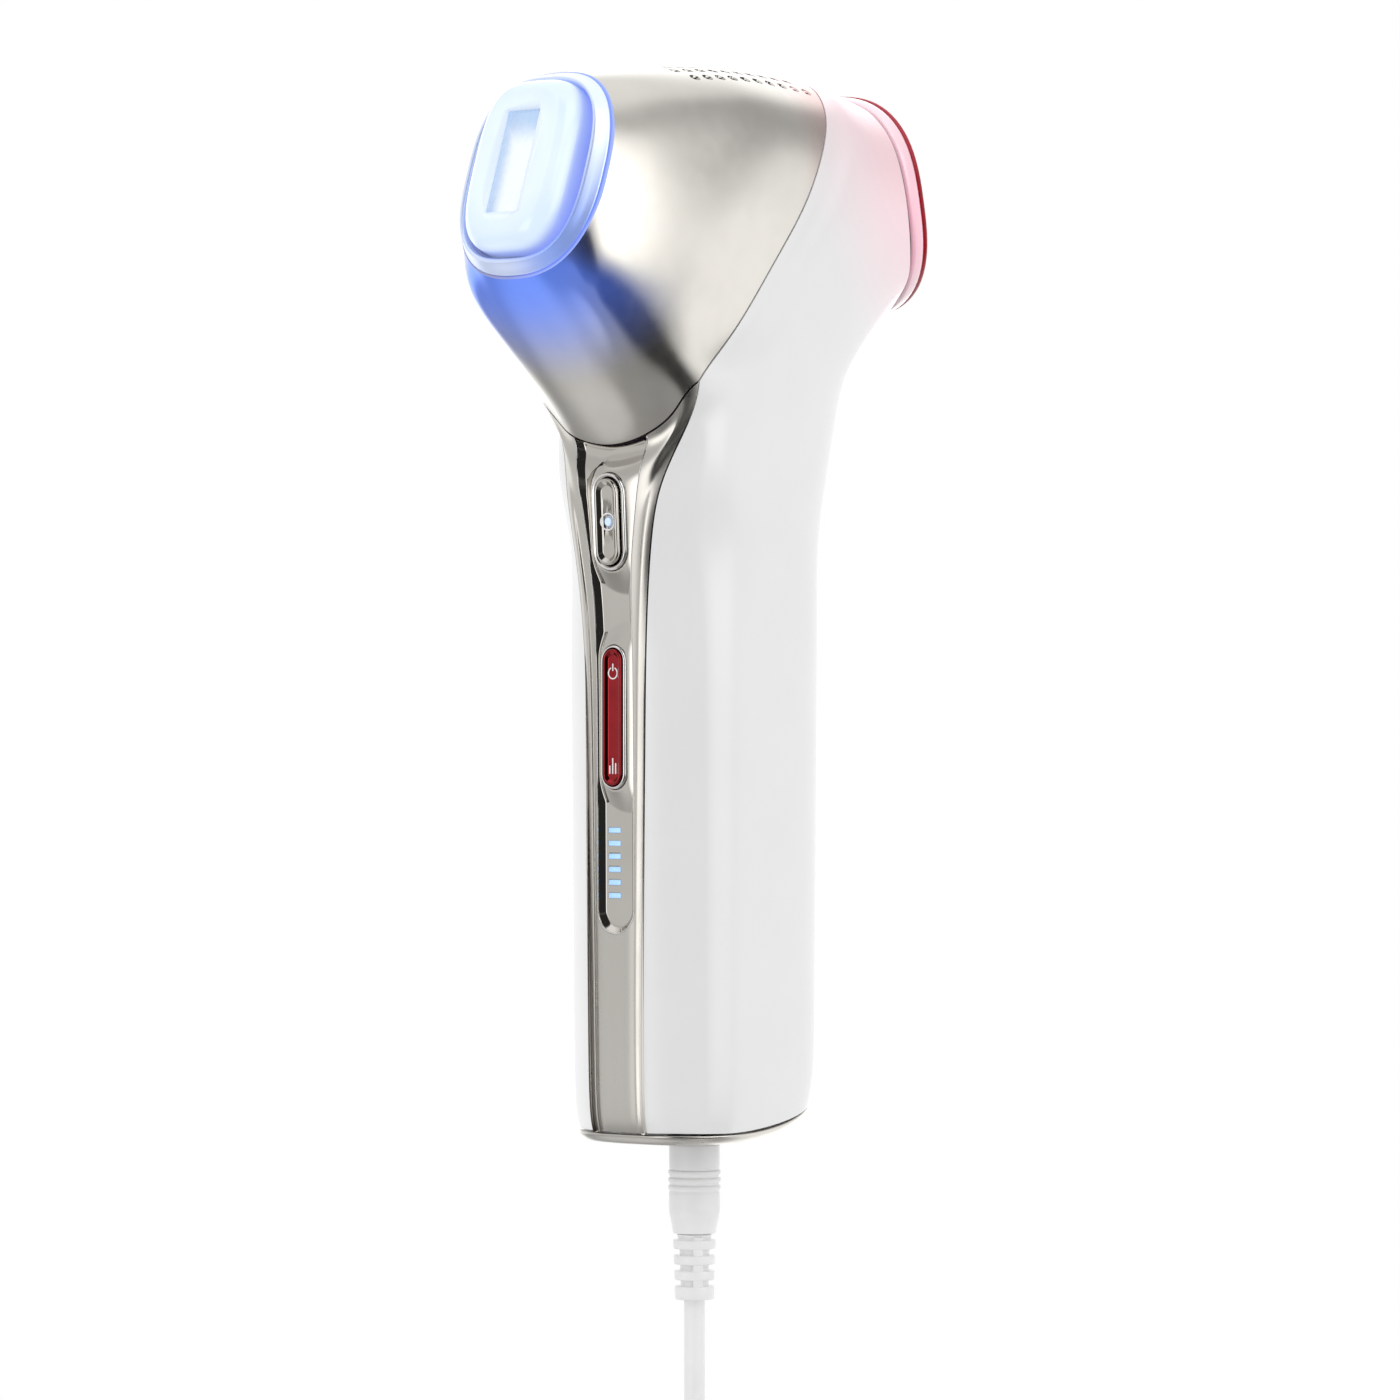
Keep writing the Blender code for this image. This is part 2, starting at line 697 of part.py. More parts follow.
plate("flash_filter", pill(*FLASH_SIZE, 0.8, 2), 4.8, 7.0, FILTER, WINDOW)

TROUGH = WINDOW @ Matrix.Rotation(-math.pi / 2, 4, "X")
arc = [math.radians(180 * k / 10) for k in range(11)]
trough = [(6.4 * math.cos(t), 4.2 + 6.4 * math.sin(t)) for t in arc]
trough += [(5.5 * math.cos(t), 4.2 + 5.5 * math.sin(t)) for t in reversed(arc)]
plate("lamp_reflector", trough, -10, 10, MIRROR, TROUGH)
cylinder("flash_lamp", 1.6, 22.6, (0, 6.2, 0), LAMP, TROUGH, 12)
box("lamp_holder_top", (10, 6, 4), (0, 6.4, 13.7), CERAMIC, TROUGH, 0.5)
box("lamp_holder_bottom", (10, 6, 4), (0, 6.4, -13.7), CERAMIC, TROUGH, 0.5)

heat_sink = box("heat_sink", (26, 3, 26), (0, -24.5, 103), ALUMINIUM)
for k in range(6):
    fin = box(f"fin_{k + 1}", (1.2, 9, 26), (-12.4 + 4.96 * k, -19.0, 103), ALUMINIUM, holder=cutters)
    boolean(heat_sink, fin, "UNION")

FAN_CENTRE = (0, 4, 107)
FAN = frame_at(FAN_CENTRE)
fan_housing = plate("fan_housing", pill(30, 30, 3, 2), -4, 4, BLACK, FAN)
boolean(fan_housing, cylinder("fan_throat", 13.6, 20, (0, 0, 0), BLACK, FAN, 24, holder=cutters))
boolean(fan_housing, box("fan_strut", (29, 3, 1.2), (0, 0, -3.3), BLACK, FAN, holder=cutters), "UNION")
fan_rotor = cylinder("fan_rotor", 5.0, 5.4, (0, 0, 0.6), BLACK, FAN, 16)
for k in range(5):
    spin = Matrix.Rotation(2 * math.pi * k / 5, 4, "Z")
    blade_frame = FAN @ spin @ Matrix.Translation(Vector((8.4, 0, 0.6)) * MM) @ Matrix.Rotation(0.6, 4, "X")
    blade = box(f"blade_{k + 1}", (8.6, 5.2, 0.9), (0, 0, 0), BLACK, blade_frame, holder=cutters)
    boolean(fan_rotor, blade, "UNION")


# ---------------------------------------------------------------- rear head

lofted(
    "rear_seal",
    [
        oval((19.7, 22.1), REAR_POWER, 0.3),
        oval((19.7, 22.1), REAR_POWER, 0.9),
        oval((17.6, 20.0), REAR_POWER, 0.9),
        oval((17.6, 20.0), REAR_POWER, 0.3),
    ],
    GREY_RUBBER,
    REAR,
    loop=True,
)
lofted(
    "rear_cap",
    [
        oval((20.5, 22.9), REAR_POWER, 1.2),
        oval((20.6, 23.0), REAR_POWER, 3.2),
        oval((20.4, 22.8), REAR_POWER, 5.0),
        oval((17.3, 19.7), REAR_POWER, 5.0),
        oval((17.1, 19.5), REAR_POWER, 1.2),
    ],
    PINK,
    REAR,
    loop=True,
)
lofted(
    "rear_lens",
    [
        oval((20.3, 22.7), REAR_POWER, 5.3),
        oval((20.2, 22.6), REAR_POWER, 6.0),
        oval((19.4, 21.8), REAR_POWER, REAR_DEPTH),
    ],
    LENS,
    REAR,
)
rear_outline = [(x, y) for x, y, _ in oval((15.6, 18.0), REAR_POWER, 0, 24)]
plate("rear_led_board", rear_outline, -3.2, -1.6, BOARD, REAR)
LED_SPOTS = [(0, 0), (8, 9), (-8, 9), (8, -9), (-8, -9)]
for k, (x, y) in enumerate(LED_SPOTS):
    cylinder(f"rear_led_{k + 1}", 1.7, 2.6, (x, y, 0.0), RED_LED, REAR, 10, 0.4)


# ---------------------------------------------------------------- controls


def control_frame(z, lean=0.0):
    """On the strip's middle line at height z: X across, Y up the handle, Z out of it."""
    tilt = math.radians(lean)
    return frame_at((0, front_y(0, z), z), (1, 0, 0), (0, -math.sin(tilt), math.cos(tilt)))


def pill_ring(width, height, inset, level, steps=4):
    return [(x, y, level) for x, y in pill(width - 2 * inset, height - 2 * inset, steps=steps)]


def surround(name, outer, inner, where):
    rings = [
        pill_ring(*outer, 0, -1.7),
        pill_ring(*outer, 0, 0.25),
        pill_ring(*outer, 0.35, 0.5),
        pill_ring(*inner, 0, 0.15),
        pill_ring(*inner, 0, -1.7),
    ]
    return lofted(name, rings, BRIGHT, where, loop=True)


BUTTON = control_frame(BUTTON_Z, 3.0)
ROCKER = control_frame(ROCKER_Z)
boolean(control_panel, plate("button_hole", pill(9.1, 19.9), -9, 9, BLACK, BUTTON, cutters))
boolean(control_panel, plate("rocker_hole", pill(6.9, 29.0), -9, 9, BLACK, ROCKER, cutters))
surround("button_surround", (8.5, 19.3), (6.5, 17.9), BUTTON)
surround("rocker_surround", (6.3, 28.4), (5.3, 27.6), ROCKER)
flash_button = lofted(
    "flash_button",
    [pill_ring(5.7, 17.1, 0, -2.2), pill_ring(5.7, 17.1, 0, 0.8), pill_ring(5.7, 17.1, 0.5, 1.2)],
    PANEL,
    BUTTON,
)
boolean(flash_button, cylinder("light_pocket", 0.95, 2.4, (0, 0, 1.2), BLACK, BUTTON, 10, holder=cutters))
cylinder("button_light", 0.62, 0.9, (0, 0, 0.75), PALE_BLUE, BUTTON, 10)
power_rocker = lofted(
    "power_rocker",
    [pill_ring(4.7, 27.0, 0, -1.3), pill_ring(4.7, 27.0, 0, 0.5), pill_ring(4.7, 27.0, 0.5, 0.85)],
    RED,
    ROCKER,
)
for k, z in enumerate(LIGHT_ZS):
    spot = control_frame(z)
    hole = box(f"light_hole_{k + 1}", (3.6, 1.5, 8), (LIGHT_X, 0, 0), BLACK, spot, holder=cutters)
    boolean(control_panel, hole)
    box(f"level_light_{k + 1}", (3.0, 0.9, 1.5), (LIGHT_X, 0, -0.95), PALE_BLUE, spot)


# ---------------------------------------------------------------- inside the handle

chassis = box("chassis", (24, 1.6, 116), (0, 2, -8), BLACK)
main_board = box("main_board", (22, 1.4, 104), (0, -10, -10), BOARD)
SCREW_SPOTS = [(-8, -56), (8, -56), (-8, 24), (8, 24)]
for k, (x, z) in enumerate(SCREW_SPOTS):
    lying = frame_at((x, 0, z), (1, 0, 0), (0, 0, 1))
    boss = cylinder(f"boss_{k + 1}", 2.6, 10.6, (0, 0, 3.6), BLACK, lying, 10, holder=cutters)
    boolean(chassis, boss, "UNION")
    bore = cylinder(f"screw_bore_{k + 1}", 1.4, 22, (0, 0, 7.0), BLACK, lying, 10, holder=cutters)
    boolean(chassis, bore)
    boolean(main_board, bore)
    profile = [(0, 12.2), (1.9, 12.2), (2.1, 11.9), (2.1, 11.0), (1.1, 11.0), (1.1, 0.6), (0, 0.2)]
    turned(f"chassis_screw_{k + 1}", profile, STEEL, lying, 10)
cylinder("storage_capacitor", 8.0, 36, (0, 12.2, -24), BLUE_SLEEVE, None, 20, 0.8)
box("trigger_coil", (12, 9, 14), (0, 9.6, 18), CERAMIC, None, 0.8)
box("flash_switch", (5, 11.4, 5), (0, -16.9, BUTTON_Z), BLACK)
box("power_switch", (4, 10.5, 8), (0, -16.4, ROCKER_Z), BLACK)
jack_profile = [(3.1, -73.0), (5.4, -73.0), (5.4, -85.4), (3.1, -85.4)]
turned("dc_jack", jack_profile, BLACK, None, 16, closed=True)


# ---------------------------------------------------------------- plug, lead and adapter

cylinder("plug_barrel", 2.75, 11.0, (0, 0, -82.8), NICKEL, None, 16, 0.3)


def plug_profile():
    points = [(0, -88.6), (4.8, -88.6), (5.07, -88.9), (5.07, -93.6)]
    for ring in range(3):
        top = -93.8 - 1.5 * ring
        points += [(4.9, top), (5.27, top - 0.3), (5.27, top - 0.9), (4.9, top - 1.2)]
    points += [(5.12, -98.4), (5.12, -102.3), (4.4, -105.6), (4.33, -106.6), (0, -106.6)]
    return points


def relief_profile():
    points = [(0, -106.9), (3.1, -106.9)]
    for rib in range(4):
        top = -107.8 - 3.1 * rib
        radius = 4.3 - 0.1 * rib
        low = top - 1.9 if rib < 3 else -119.8
        points += [(3.1, top), (radius, top), (radius, low), (3.1, low)]
    points += [(0, -119.8)]
    return points


turned("plug_body", plug_profile(), LEAD, None, 16)
turned("strain_relief", relief_profile(), LEAD, None, 16)

cord = bpy.data.curves.new("power_cord", "CURVE")
cord.dimensions = "3D"
cord.bevel_depth = CORD_RADIUS * MM
cord.bevel_resolution = 2
cord.use_fill_caps = True
spline = cord.splines.new("POLY")


def cord_line():
    """The lead's middle line: straight down from the plug, then round onto the top of the coil."""
    bend_top = COIL_Z + ROW_STEP + COIL_RADIUS
    start = math.atan2(-COIL_CENTRE[1], -COIL_CENTRE[0])
    line = [(0.0, 0.0, z) for z in np.linspace(-120.1, bend_top, 6)]
    for k in range(1, 10):
        turn = math.radians(6 * k)
        along = start + 1 - math.cos(turn)
        x = COIL_CENTRE[0] + COIL_RADIUS * math.cos(along)
        y = COIL_CENTRE[1] + COIL_RADIUS * math.sin(along)
        line.append((x, y, bend_top - COIL_RADIUS * math.sin(turn)))
    return line


CORD_LINE = cord_line()
spline.points.add(len(CORD_LINE) - 1)
for point, spot in zip(spline.points, CORD_LINE):
    point.co = (*(Vector(spot) * MM), 1)
power_cord = bpy.data.objects.new("power_cord", cord)
bpy.context.scene.collection.objects.link(power_cord)
place(power_cord, LEAD)

COIL = frame_at((*COIL_CENTRE, COIL_Z))
section = [(COIL_RADIUS + x, y) for x, y, _ in reversed(oval(COIL_HALF, 2.2, 0, 14))]
turned("cord_coil", section, LEAD, COIL, 28, closed=True)

TIE = COIL @ Matrix.Rotation(math.radians(TIE_ANGLE), 4, "Z") @ Matrix.Translation((COIL_RADIUS * MM, 0, 0))
TIE = TIE @ Matrix.Rotation(math.pi / 2, 4, "X")
TIE_INNER = (COIL_HALF[0] + 0.75, COIL_HALF[1] + 0.3)
TIE_OUTER = (COIL_HALF[0] + 1.55, COIL_HALF[1] + 1.1)
tie_rings = [oval(TIE_OUTER, 2.2, 3, 28), oval(TIE_OUTER, 2.2, -3, 28)]
tie_rings += [oval(TIE_INNER, 2.2, -3, 28), oval(TIE_INNER, 2.2, 3, 28)]
lofted("coil_tie", tie_rings, BLACK, TIE, loop=True)

ADAPTER = frame_at(ADAPTER_CENTRE)
box("adapter_body", ADAPTER_SIZE, (0, 0, 0), LEAD, ADAPTER, 3.0)
blade_y = -ADAPTER_SIZE[1] / 2 - 7.8 - GAP
for side, x in (("left", -6.35), ("right", 6.35)):
    box(f"adapter_blade_{side}", (1.5, 15.6, 6.3), (x, blade_y, 0), NICKEL, ADAPTER)
relief_x = ADAPTER_CENTRE[0] - ADAPTER_SIZE[0] / 2 - GAP
relief_y = COIL_CENTRE[1] - COIL_RADIUS - 2 * CORD_RADIUS
RELIEF = frame_at((relief_x, relief_y, FLOOR_Z + 3.9), (0, 1, 0), (0, 0, 1))
relief_taper = [(0, 0), (3.6, 0), (2.5, -RELIEF_LENGTH), (0, -RELIEF_LENGTH)]
turned("adapter_relief", relief_taper, LEAD, RELIEF, 12)
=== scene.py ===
"""Studio look of the light hair remover.

Lengths are millimetres until a mesh is made. +Z runs up the handle, the flash window faces -Y and the
rear light +Y. The smooth outside comes from a cage of the same shape as the CAD shells, subdivided further.
"""

import math

import bmesh
import bpy
import numpy as np
from mathutils import Matrix, Vector
from mathutils.bvhtree import BVHTree


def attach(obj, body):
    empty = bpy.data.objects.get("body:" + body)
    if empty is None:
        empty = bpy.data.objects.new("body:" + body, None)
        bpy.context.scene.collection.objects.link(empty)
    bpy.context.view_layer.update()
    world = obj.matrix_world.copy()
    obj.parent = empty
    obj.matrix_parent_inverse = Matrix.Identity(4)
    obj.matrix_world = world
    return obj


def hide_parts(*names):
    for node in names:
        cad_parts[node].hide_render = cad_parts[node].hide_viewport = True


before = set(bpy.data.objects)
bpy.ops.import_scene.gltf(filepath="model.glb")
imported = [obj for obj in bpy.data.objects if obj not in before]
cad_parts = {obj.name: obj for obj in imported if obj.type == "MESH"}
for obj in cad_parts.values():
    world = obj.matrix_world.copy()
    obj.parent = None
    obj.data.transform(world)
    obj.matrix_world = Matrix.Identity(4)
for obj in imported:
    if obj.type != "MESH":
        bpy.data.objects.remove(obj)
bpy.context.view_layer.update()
SCENE = bpy.context.scene

MM = 0.001
SEAM = 0.3

# Camera
CAMERA_TURN = 40.0
CAMERA_AWAY = 1300.0
CAMERA_ASIDE = 1.1
CAMERA_LENS = 167.14

# Handle
GRIP_HALF_WIDTH = 20.5
GRIP_HALF_DEPTH = 24.6
SECTION_POWER = 3.0
BASE_Z = -85.4
SHELL = 1.8
STRIP_SHELL = 1.6

# Heads
WINDOW_CENTRE = (0.0, -47.8, 102.1)
WINDOW_TILT = 18.8
WINDOW_HALF = (17.9, 21.5)
WINDOW_POWER = 2.5
FLASH_SIZE = (8.5, 21.4)
REAR_CENTRE = (0.0, 42.7, 100.1)
REAR_TILT = 12.35
REAR_HALF = (20.6, 23.0)
REAR_POWER = 2.73

# Vents
VENT_ROWS = [(6.3, 125.2), (9.9, 124.4), (13.5, 122.2)]
VENT_FIRST_Y = -16.0
VENT_PITCH = 3.87
VENT_COUNT = 10
VENT_RADIUS = 0.95
VENT_SIDES = 24

# Inset panel: its round lower end, the channel round its edge and the mounds round its controls
PANEL_END_HALF = 4.9
PANEL_END_Z = -41.3
PANEL_TOP_Z = 58.0
CHANNEL_DEPTH = 1.2
CHANNEL_SLOPE = 0.78
MOUND_SLOPE = 0.3

# Controls
BUTTON_X = 0.4
BUTTON_Z = 35.1
BUTTON_WELL = (8.7, 19.5)
ROCKER_Z = -3.4
ROCKER_WELL = (6.5, 28.6)
LIGHT_X = -1.2
LIGHT_ZS = [-25.7 - 2.58 * k for k in range(6)]

# Lead
CORD_RADIUS = 2.1
FLOOR_Z = -188.0
COIL_CENTRE = (-15.0, 20.0)
COIL_RADIUS = 25.0
COIL_HALF = (8.5, 6.1)
COIL_Z = FLOOR_Z + COIL_HALF[1] + 1.2
COIL_TURNS = 10
ROW_STEP = 3.9
TIE_ANGLE = 215.0
ADAPTER_SIZE = (30.0, 44.0, 24.0)
ADAPTER_CENTRE = (44.0, -3.0, FLOOR_Z + 12.2)
ADAPTER_EDGE_X = ADAPTER_CENTRE[0] - ADAPTER_SIZE[0] / 2
ADAPTER_LEAD_Z = FLOOR_Z + 3.9
RELIEF_LENGTH = 22.0


# ---------------------------------------------------------------- camera and lead first


def make_camera():
    data = bpy.data.cameras.new("camera")
    data.lens = CAMERA_LENS
    data.sensor_width = 36.0
    data.clip_start = 0.05
    data.clip_end = 50.0
    camera = bpy.data.objects.new("camera", data)
    turn = math.radians(CAMERA_TURN)
    across = Vector((math.cos(turn), math.sin(turn), 0.0))
    back = Vector((math.sin(turn), -math.cos(turn), 0.0))
    camera.location = (back * CAMERA_AWAY + across * CAMERA_ASIDE) * MM
    camera.rotation_euler = (math.pi / 2, 0.0, turn)
    SCENE.collection.objects.link(camera)
    SCENE.camera = camera


def ease(share):
    """A smooth step of a share from 0 to 1."""
    return share * share * (3 - 2 * share)


def coil_offset(turns):
    """How far off the coil's middle line the lead is after some turns: outwards, and in rows upwards."""
    spots = [(-2, 1), (0, 1), (2, 1), (3, 0), (1, 0), (-1, 0), (-3, 0), (-2, -1), (0, -1), (2, -1), (2, -1)]
    whole = min(int(turns), len(spots) - 2)
    share = ease(min(max((turns - whole - 0.66) / 0.34, 0.0), 1.0))
    here, after = np.array(spots[whole]), np.array(spots[whole + 1])
    out, row = here + (after - here) * share
    return out * CORD_RADIUS, row * ROW_STEP


def coil_spot(radius, along, z):
    return (COIL_CENTRE[0] + radius * math.cos(along), COIL_CENTRE[1] + radius * math.sin(along), z)


def lead_line():
    """Straight down from the plug, round onto the coil, ten turns in three rows, and into the adapter."""
    bend_top = COIL_Z + ROW_STEP + COIL_RADIUS
    start = math.atan2(-COIL_CENTRE[1], -COIL_CENTRE[0])
    line = [(0.0, 0.0, z) for z in np.linspace(-109.0, bend_top, 14)]
    for k in range(1, 17):
        turn = math.radians(90 * k / 16)
        share = (1 - math.cos(turn)) ** 2
        radius = COIL_RADIUS - 2 * CORD_RADIUS * share * (3 - 2 * share)
        line.append(coil_spot(radius, start + 1 - math.cos(turn), bend_top - COIL_RADIUS * math.sin(turn)))
    first = start + 1
    last = math.radians(-90) + 2 * math.pi * COIL_TURNS
    steps = 48 * COIL_TURNS
    for k in range(1, steps + 1):
        along = first + (last - first) * k / steps
        out, rise = coil_offset((along - start) / (2 * math.pi))
        line.append(coil_spot(COIL_RADIUS + out, along, COIL_Z + rise))
    x, y, z = line[-1]
    for k in range(1, 19):
        share = k / 18
        line.append((x + (ADAPTER_EDGE_X - 8 - x) * share, y, z + (ADAPTER_LEAD_Z - z) * ease(share)))
    return line


def make_lead():
    curve = bpy.data.curves.new("lead", "CURVE")
    curve.dimensions = "3D"
    curve.bevel_depth = CORD_RADIUS * MM
    curve.bevel_resolution = 5
    curve.use_fill_caps = True
    spline = curve.splines.new("POLY")
    line = lead_line()
    spline.points.add(len(line) - 1)
    for point, spot in zip(spline.points, line):
        point.co = (*(Vector(spot) * MM), 1.0)
    spline.use_smooth = True
    lead = bpy.data.objects.new("lead_cord", curve)
    SCENE.collection.objects.link(lead)
    return lead


make_camera()
lead_cord = make_lead()


# ---------------------------------------------------------------- small tools


def frame_at(centre, x_axis=(1, 0, 0), y_axis=(0, 1, 0)):
    """A matrix in millimetres with its origin at centre and the given first two axes."""
    x_dir = Vector(x_axis).normalized()
    y_dir = Vector(y_axis).normalized()
    turn = Matrix((x_dir, y_dir, x_dir.cross(y_dir))).transposed().to_4x4()
    return Matrix.Translation(Vector(centre)) @ turn


def tilted(centre, degrees, facing):
    """The frame of a head's face: Z out of it, Y up in it. facing is -1 for the front, 1 for the rear."""
    lean = math.radians(degrees)
    return frame_at(centre, (-facing, 0, 0), (0.0, -facing * math.sin(lean), math.cos(lean)))


WINDOW = tilted(WINDOW_CENTRE, WINDOW_TILT, -1)
REAR = tilted(REAR_CENTRE, REAR_TILT, 1)
FRONT = frame_at((0, -GRIP_HALF_DEPTH, 0), (1, 0, 0), (0, 0, 1))


def link_mesh(name, mesh):
    obj = bpy.data.objects.new(name, mesh)
    SCENE.collection.objects.link(obj)
    return obj


def mesh_from(work, name):
    """Ends a bmesh as a mesh."""
    mesh = bpy.data.meshes.new(name)
    work.to_mesh(mesh)
    work.free()
    return mesh


def mesh_object(name, points, faces, where=None):
    """A smooth mesh object at the origin, from points in the frame `where`."""
    where = where or Matrix()
    mesh = bpy.data.meshes.new(name)
    mesh.from_pydata([tuple((where @ Vector(p)) * MM) for p in points], [], faces)
    work = bmesh.new()
    work.from_mesh(mesh)
    bmesh.ops.remove_doubles(work, verts=work.verts, dist=0.000002)
    bmesh.ops.recalc_face_normals(work, faces=work.faces)
    work.to_mesh(mesh)
    work.free()
    mesh.shade_smooth()
    return link_mesh(name, mesh)


def soften(obj, width, segments=3, angle=35.0):
    """Rounds the edges that are sharper than the angle."""
    edge = obj.modifiers.new("edges", "BEVEL")
    edge.width = width * MM
    edge.segments = segments
    edge.limit_method = "ANGLE"
    edge.angle_limit = math.radians(angle)
    edge.harden_normals = True
    edge.miter_outer = "MITER_ARC"
    return obj


def bake_modifiers(obj):
    """Applies an object's modifiers, so that its mesh is final."""
    bpy.context.view_layer.update()
    graph = bpy.context.evaluated_depsgraph_get()
    made = bpy.data.meshes.new_from_object(obj.evaluated_get(graph), depsgraph=graph)
    obj.modifiers.clear()
    obj.data = made
    return obj


def cut(obj, *tools):
    """Cuts the tools out of an object for good, and removes them."""
    for tool in tools:
        job = obj.modifiers.new("cut", "BOOLEAN")
        job.operation = "DIFFERENCE"
        job.solver = "EXACT"
        job.object = tool
    bake_modifiers(obj)
    for tool in tools:
        bpy.data.objects.remove(tool, do_unlink=True)
    return obj


def join(name, *objs):
    """One object out of several, each with its modifiers applied."""
    work = bmesh.new()
    for obj in objs:
        bake_modifiers(obj)
        work.from_mesh(obj.data)
        bpy.data.objects.remove(obj, do_unlink=True)
    return link_mesh(name, mesh_from(work, name))


def even_oval(half, power, height, count=96, shift=0.0):
    """A superellipse ring in the frame's XY plane, with its points spread evenly along it."""
    fine = []
    for k in range(1441):
        angle = 2 * math.pi * (k % 1440) / 1440
        c, s = math.cos(angle), math.sin(angle)
        x = half[0] * math.copysign(abs(c) ** (2 / power), c)
        y = half[1] * math.copysign(abs(s) ** (2 / power), s)
        fine.append((x, y + shift, height))
    fine = np.array(fine)
    run = np.concatenate([[0.0], np.cumsum(np.linalg.norm(np.diff(fine, axis=0), axis=1))])
    spots = np.linspace(0.0, run[-1], count, endpoint=False)
    return [tuple(np.interp(s, run, fine[:, k]) for k in range(3)) for s in spots]


def ovals(power, rows, count=96, shift=0.0):
    """Superellipse rings from rows of half width, half height, level and, where it differs, the power."""
    return [even_oval(row[:2], row[3] if row[3:] else power, row[2], count, shift) for row in rows]


def rear_ovals(rows):
    """Rings of the rear head's outline from rows of inset and level."""
    return ovals(REAR_POWER, [(REAR_HALF[0] - inset, REAR_HALF[1] - inset, level) for inset, level in rows])


def pill(width, height, corner=None, steps=12, centre=(0.0, 0.0)):
    """A rounded rectangle's outline; without a corner given its short ends are round."""
    corner = min(width, height) / 2 - 0.001 if corner is None else corner
    points = []
    for sx, sy, start in ((1, -1, -90), (1, 1, 0), (-1, 1, 90), (-1, -1, 180)):
        cx = centre[0] + sx * (width / 2 - corner)
        cy = centre[1] + sy * (height / 2 - corner)
        for k in range(steps + 1):
            angle = math.radians(start + 90 * k / steps)
            points.append((cx + corner * math.cos(angle), cy + corner * math.sin(angle)))
    return points


def at_level(outline, level):
    return [(x, y, level) for x, y in outline]


def pill_rings(rows):
    """Rings from rows of a pill's size, its inset and its level."""
    return [at_level(pill(size[0] - 2 * inset, size[1] - 2 * inset), level) for size, inset, level in rows]


def circle(radius, count=48, centre=(0.0, 0.0)):
    turns = [2 * math.pi * k / count for k in range(count)]
    return [(centre[0] + radius * math.cos(t), centre[1] + radius * math.sin(t)) for t in turns]


def lofted(name, rings, where=None, loop=False):
    """A loft through rings of equal count: capped at both ends, or closed into a hoop when loop is set."""
    count = len(rings[0])
    points = [p for ring in rings for p in ring]
    faces = []
    for r in range(len(rings) if loop else len(rings) - 1):
        a, b = r * count, ((r + 1) % len(rings)) * count
        for k in range(count):
            n = (k + 1) % count
            faces.append((a + k, a + n, b + n, b + k))
    if not loop:
        faces.append(tuple(range(count)))
        faces.append(tuple(range((len(rings) - 1) * count, len(rings) * count)))
    return mesh_object(name, points, faces, where)


def lathed(name, profile, where=None, steps=64):
    """A turned solid from (radius, height) pairs that start and end on the axis."""
    return lofted(name, [at_level(circle(radius, steps), z) for radius, z in profile], where)


def rounded_profile(profile, radius):
    """A lathe profile with each inner corner replaced by a small arc, at most 0.4 of its sides long."""
    made = [profile[0]]
    for before, here, after in zip(profile, profile[1:], profile[2:]):
        p, a, b = np.array(here), np.array(before), np.array(after)
        reach_a = min(radius, np.linalg.norm(a - p) * 0.4)
        reach_b = min(radius, np.linalg.norm(b - p) * 0.4)
        start = p + (a - p) / np.linalg.norm(a - p) * reach_a
        end = p + (b - p) / np.linalg.norm(b - p) * reach_b
        for t in (0, 1 / 3, 2 / 3, 1):
            made.append(tuple((1 - t) ** 2 * start + 2 * t * (1 - t) * p + t * t * end))
    made.append(profile[-1])
    return made


def prism(name, outline, low, high, where=None):
    """A flat outline in the frame's XY plane, thick from low to high along its Z."""
    return lofted(name, [at_level(outline, low), at_level(outline, high)], where)


def finish_piece(obj, mat, slot, *nodes, body="device"):
    """Rides a piece on its body, gives it its material, and lets it stand for its CAD nodes. The slot is
    not used.
    """
    obj.data.materials.clear()
    obj.data.materials.append(mat)
    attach(obj, body)
    if nodes:
        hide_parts(*nodes)
    return obj


# ---------------------------------------------------------------- outer surface
# The same cage as the CAD shells: its points are named by (region, row, column) on the +X side, and the -X
# side is its mirror image. Columns 0-4 cross the front strip, 4-10 go round the white side to the back.

ROW_EDGE_Z = [BASE_Z, -79.0, -60.0, -35.0, -8.0, 14.0, 30.0, 42.0, 52.5]
ROW_MID_Z = [BASE_Z, -79.0, -60.0, -35.0, -8.0, 13.0, 27.0, 37.0, 44.5]
ROW_BACK_Z = ROW_EDGE_Z[:7]
STRIP_HALF = [6.5, 6.7, 6.8, 7.1, 7.5, 8.2, 9.9, 12.2, 16.0]
ACROSS = [0.0, 0.27, 0.53, 0.77, 1.0]
DROP = [0.0, 0.06, 0.21, 0.5, 1.0]
TONGUE = [
    (0, -26.2, 50.1), (5.6, -26.1, 50.8), (10.8, -25.7, 52.7), (15.6, -24.8, 56.3), (20.5, -22.9, 62.3),
]
TOP_ROW = 9
SPLIT = [
    (20.3, -11.5, 73.0), (21.1, -0.5, 86.5), (21.2, 9.0, 98.5), (20.7, 15.2, 109.5),
    (17.5, 19.9, 118.0), (9.5, 24.8, 123.9), (0, 27.5, 124.9),
]
SIDE_SHARES = [(0.86, -0.714), (0.995, -0.25), (0.985, 0.36), (0.83, 0.754), (0.45, 0.969), (0.0, 1.0)]
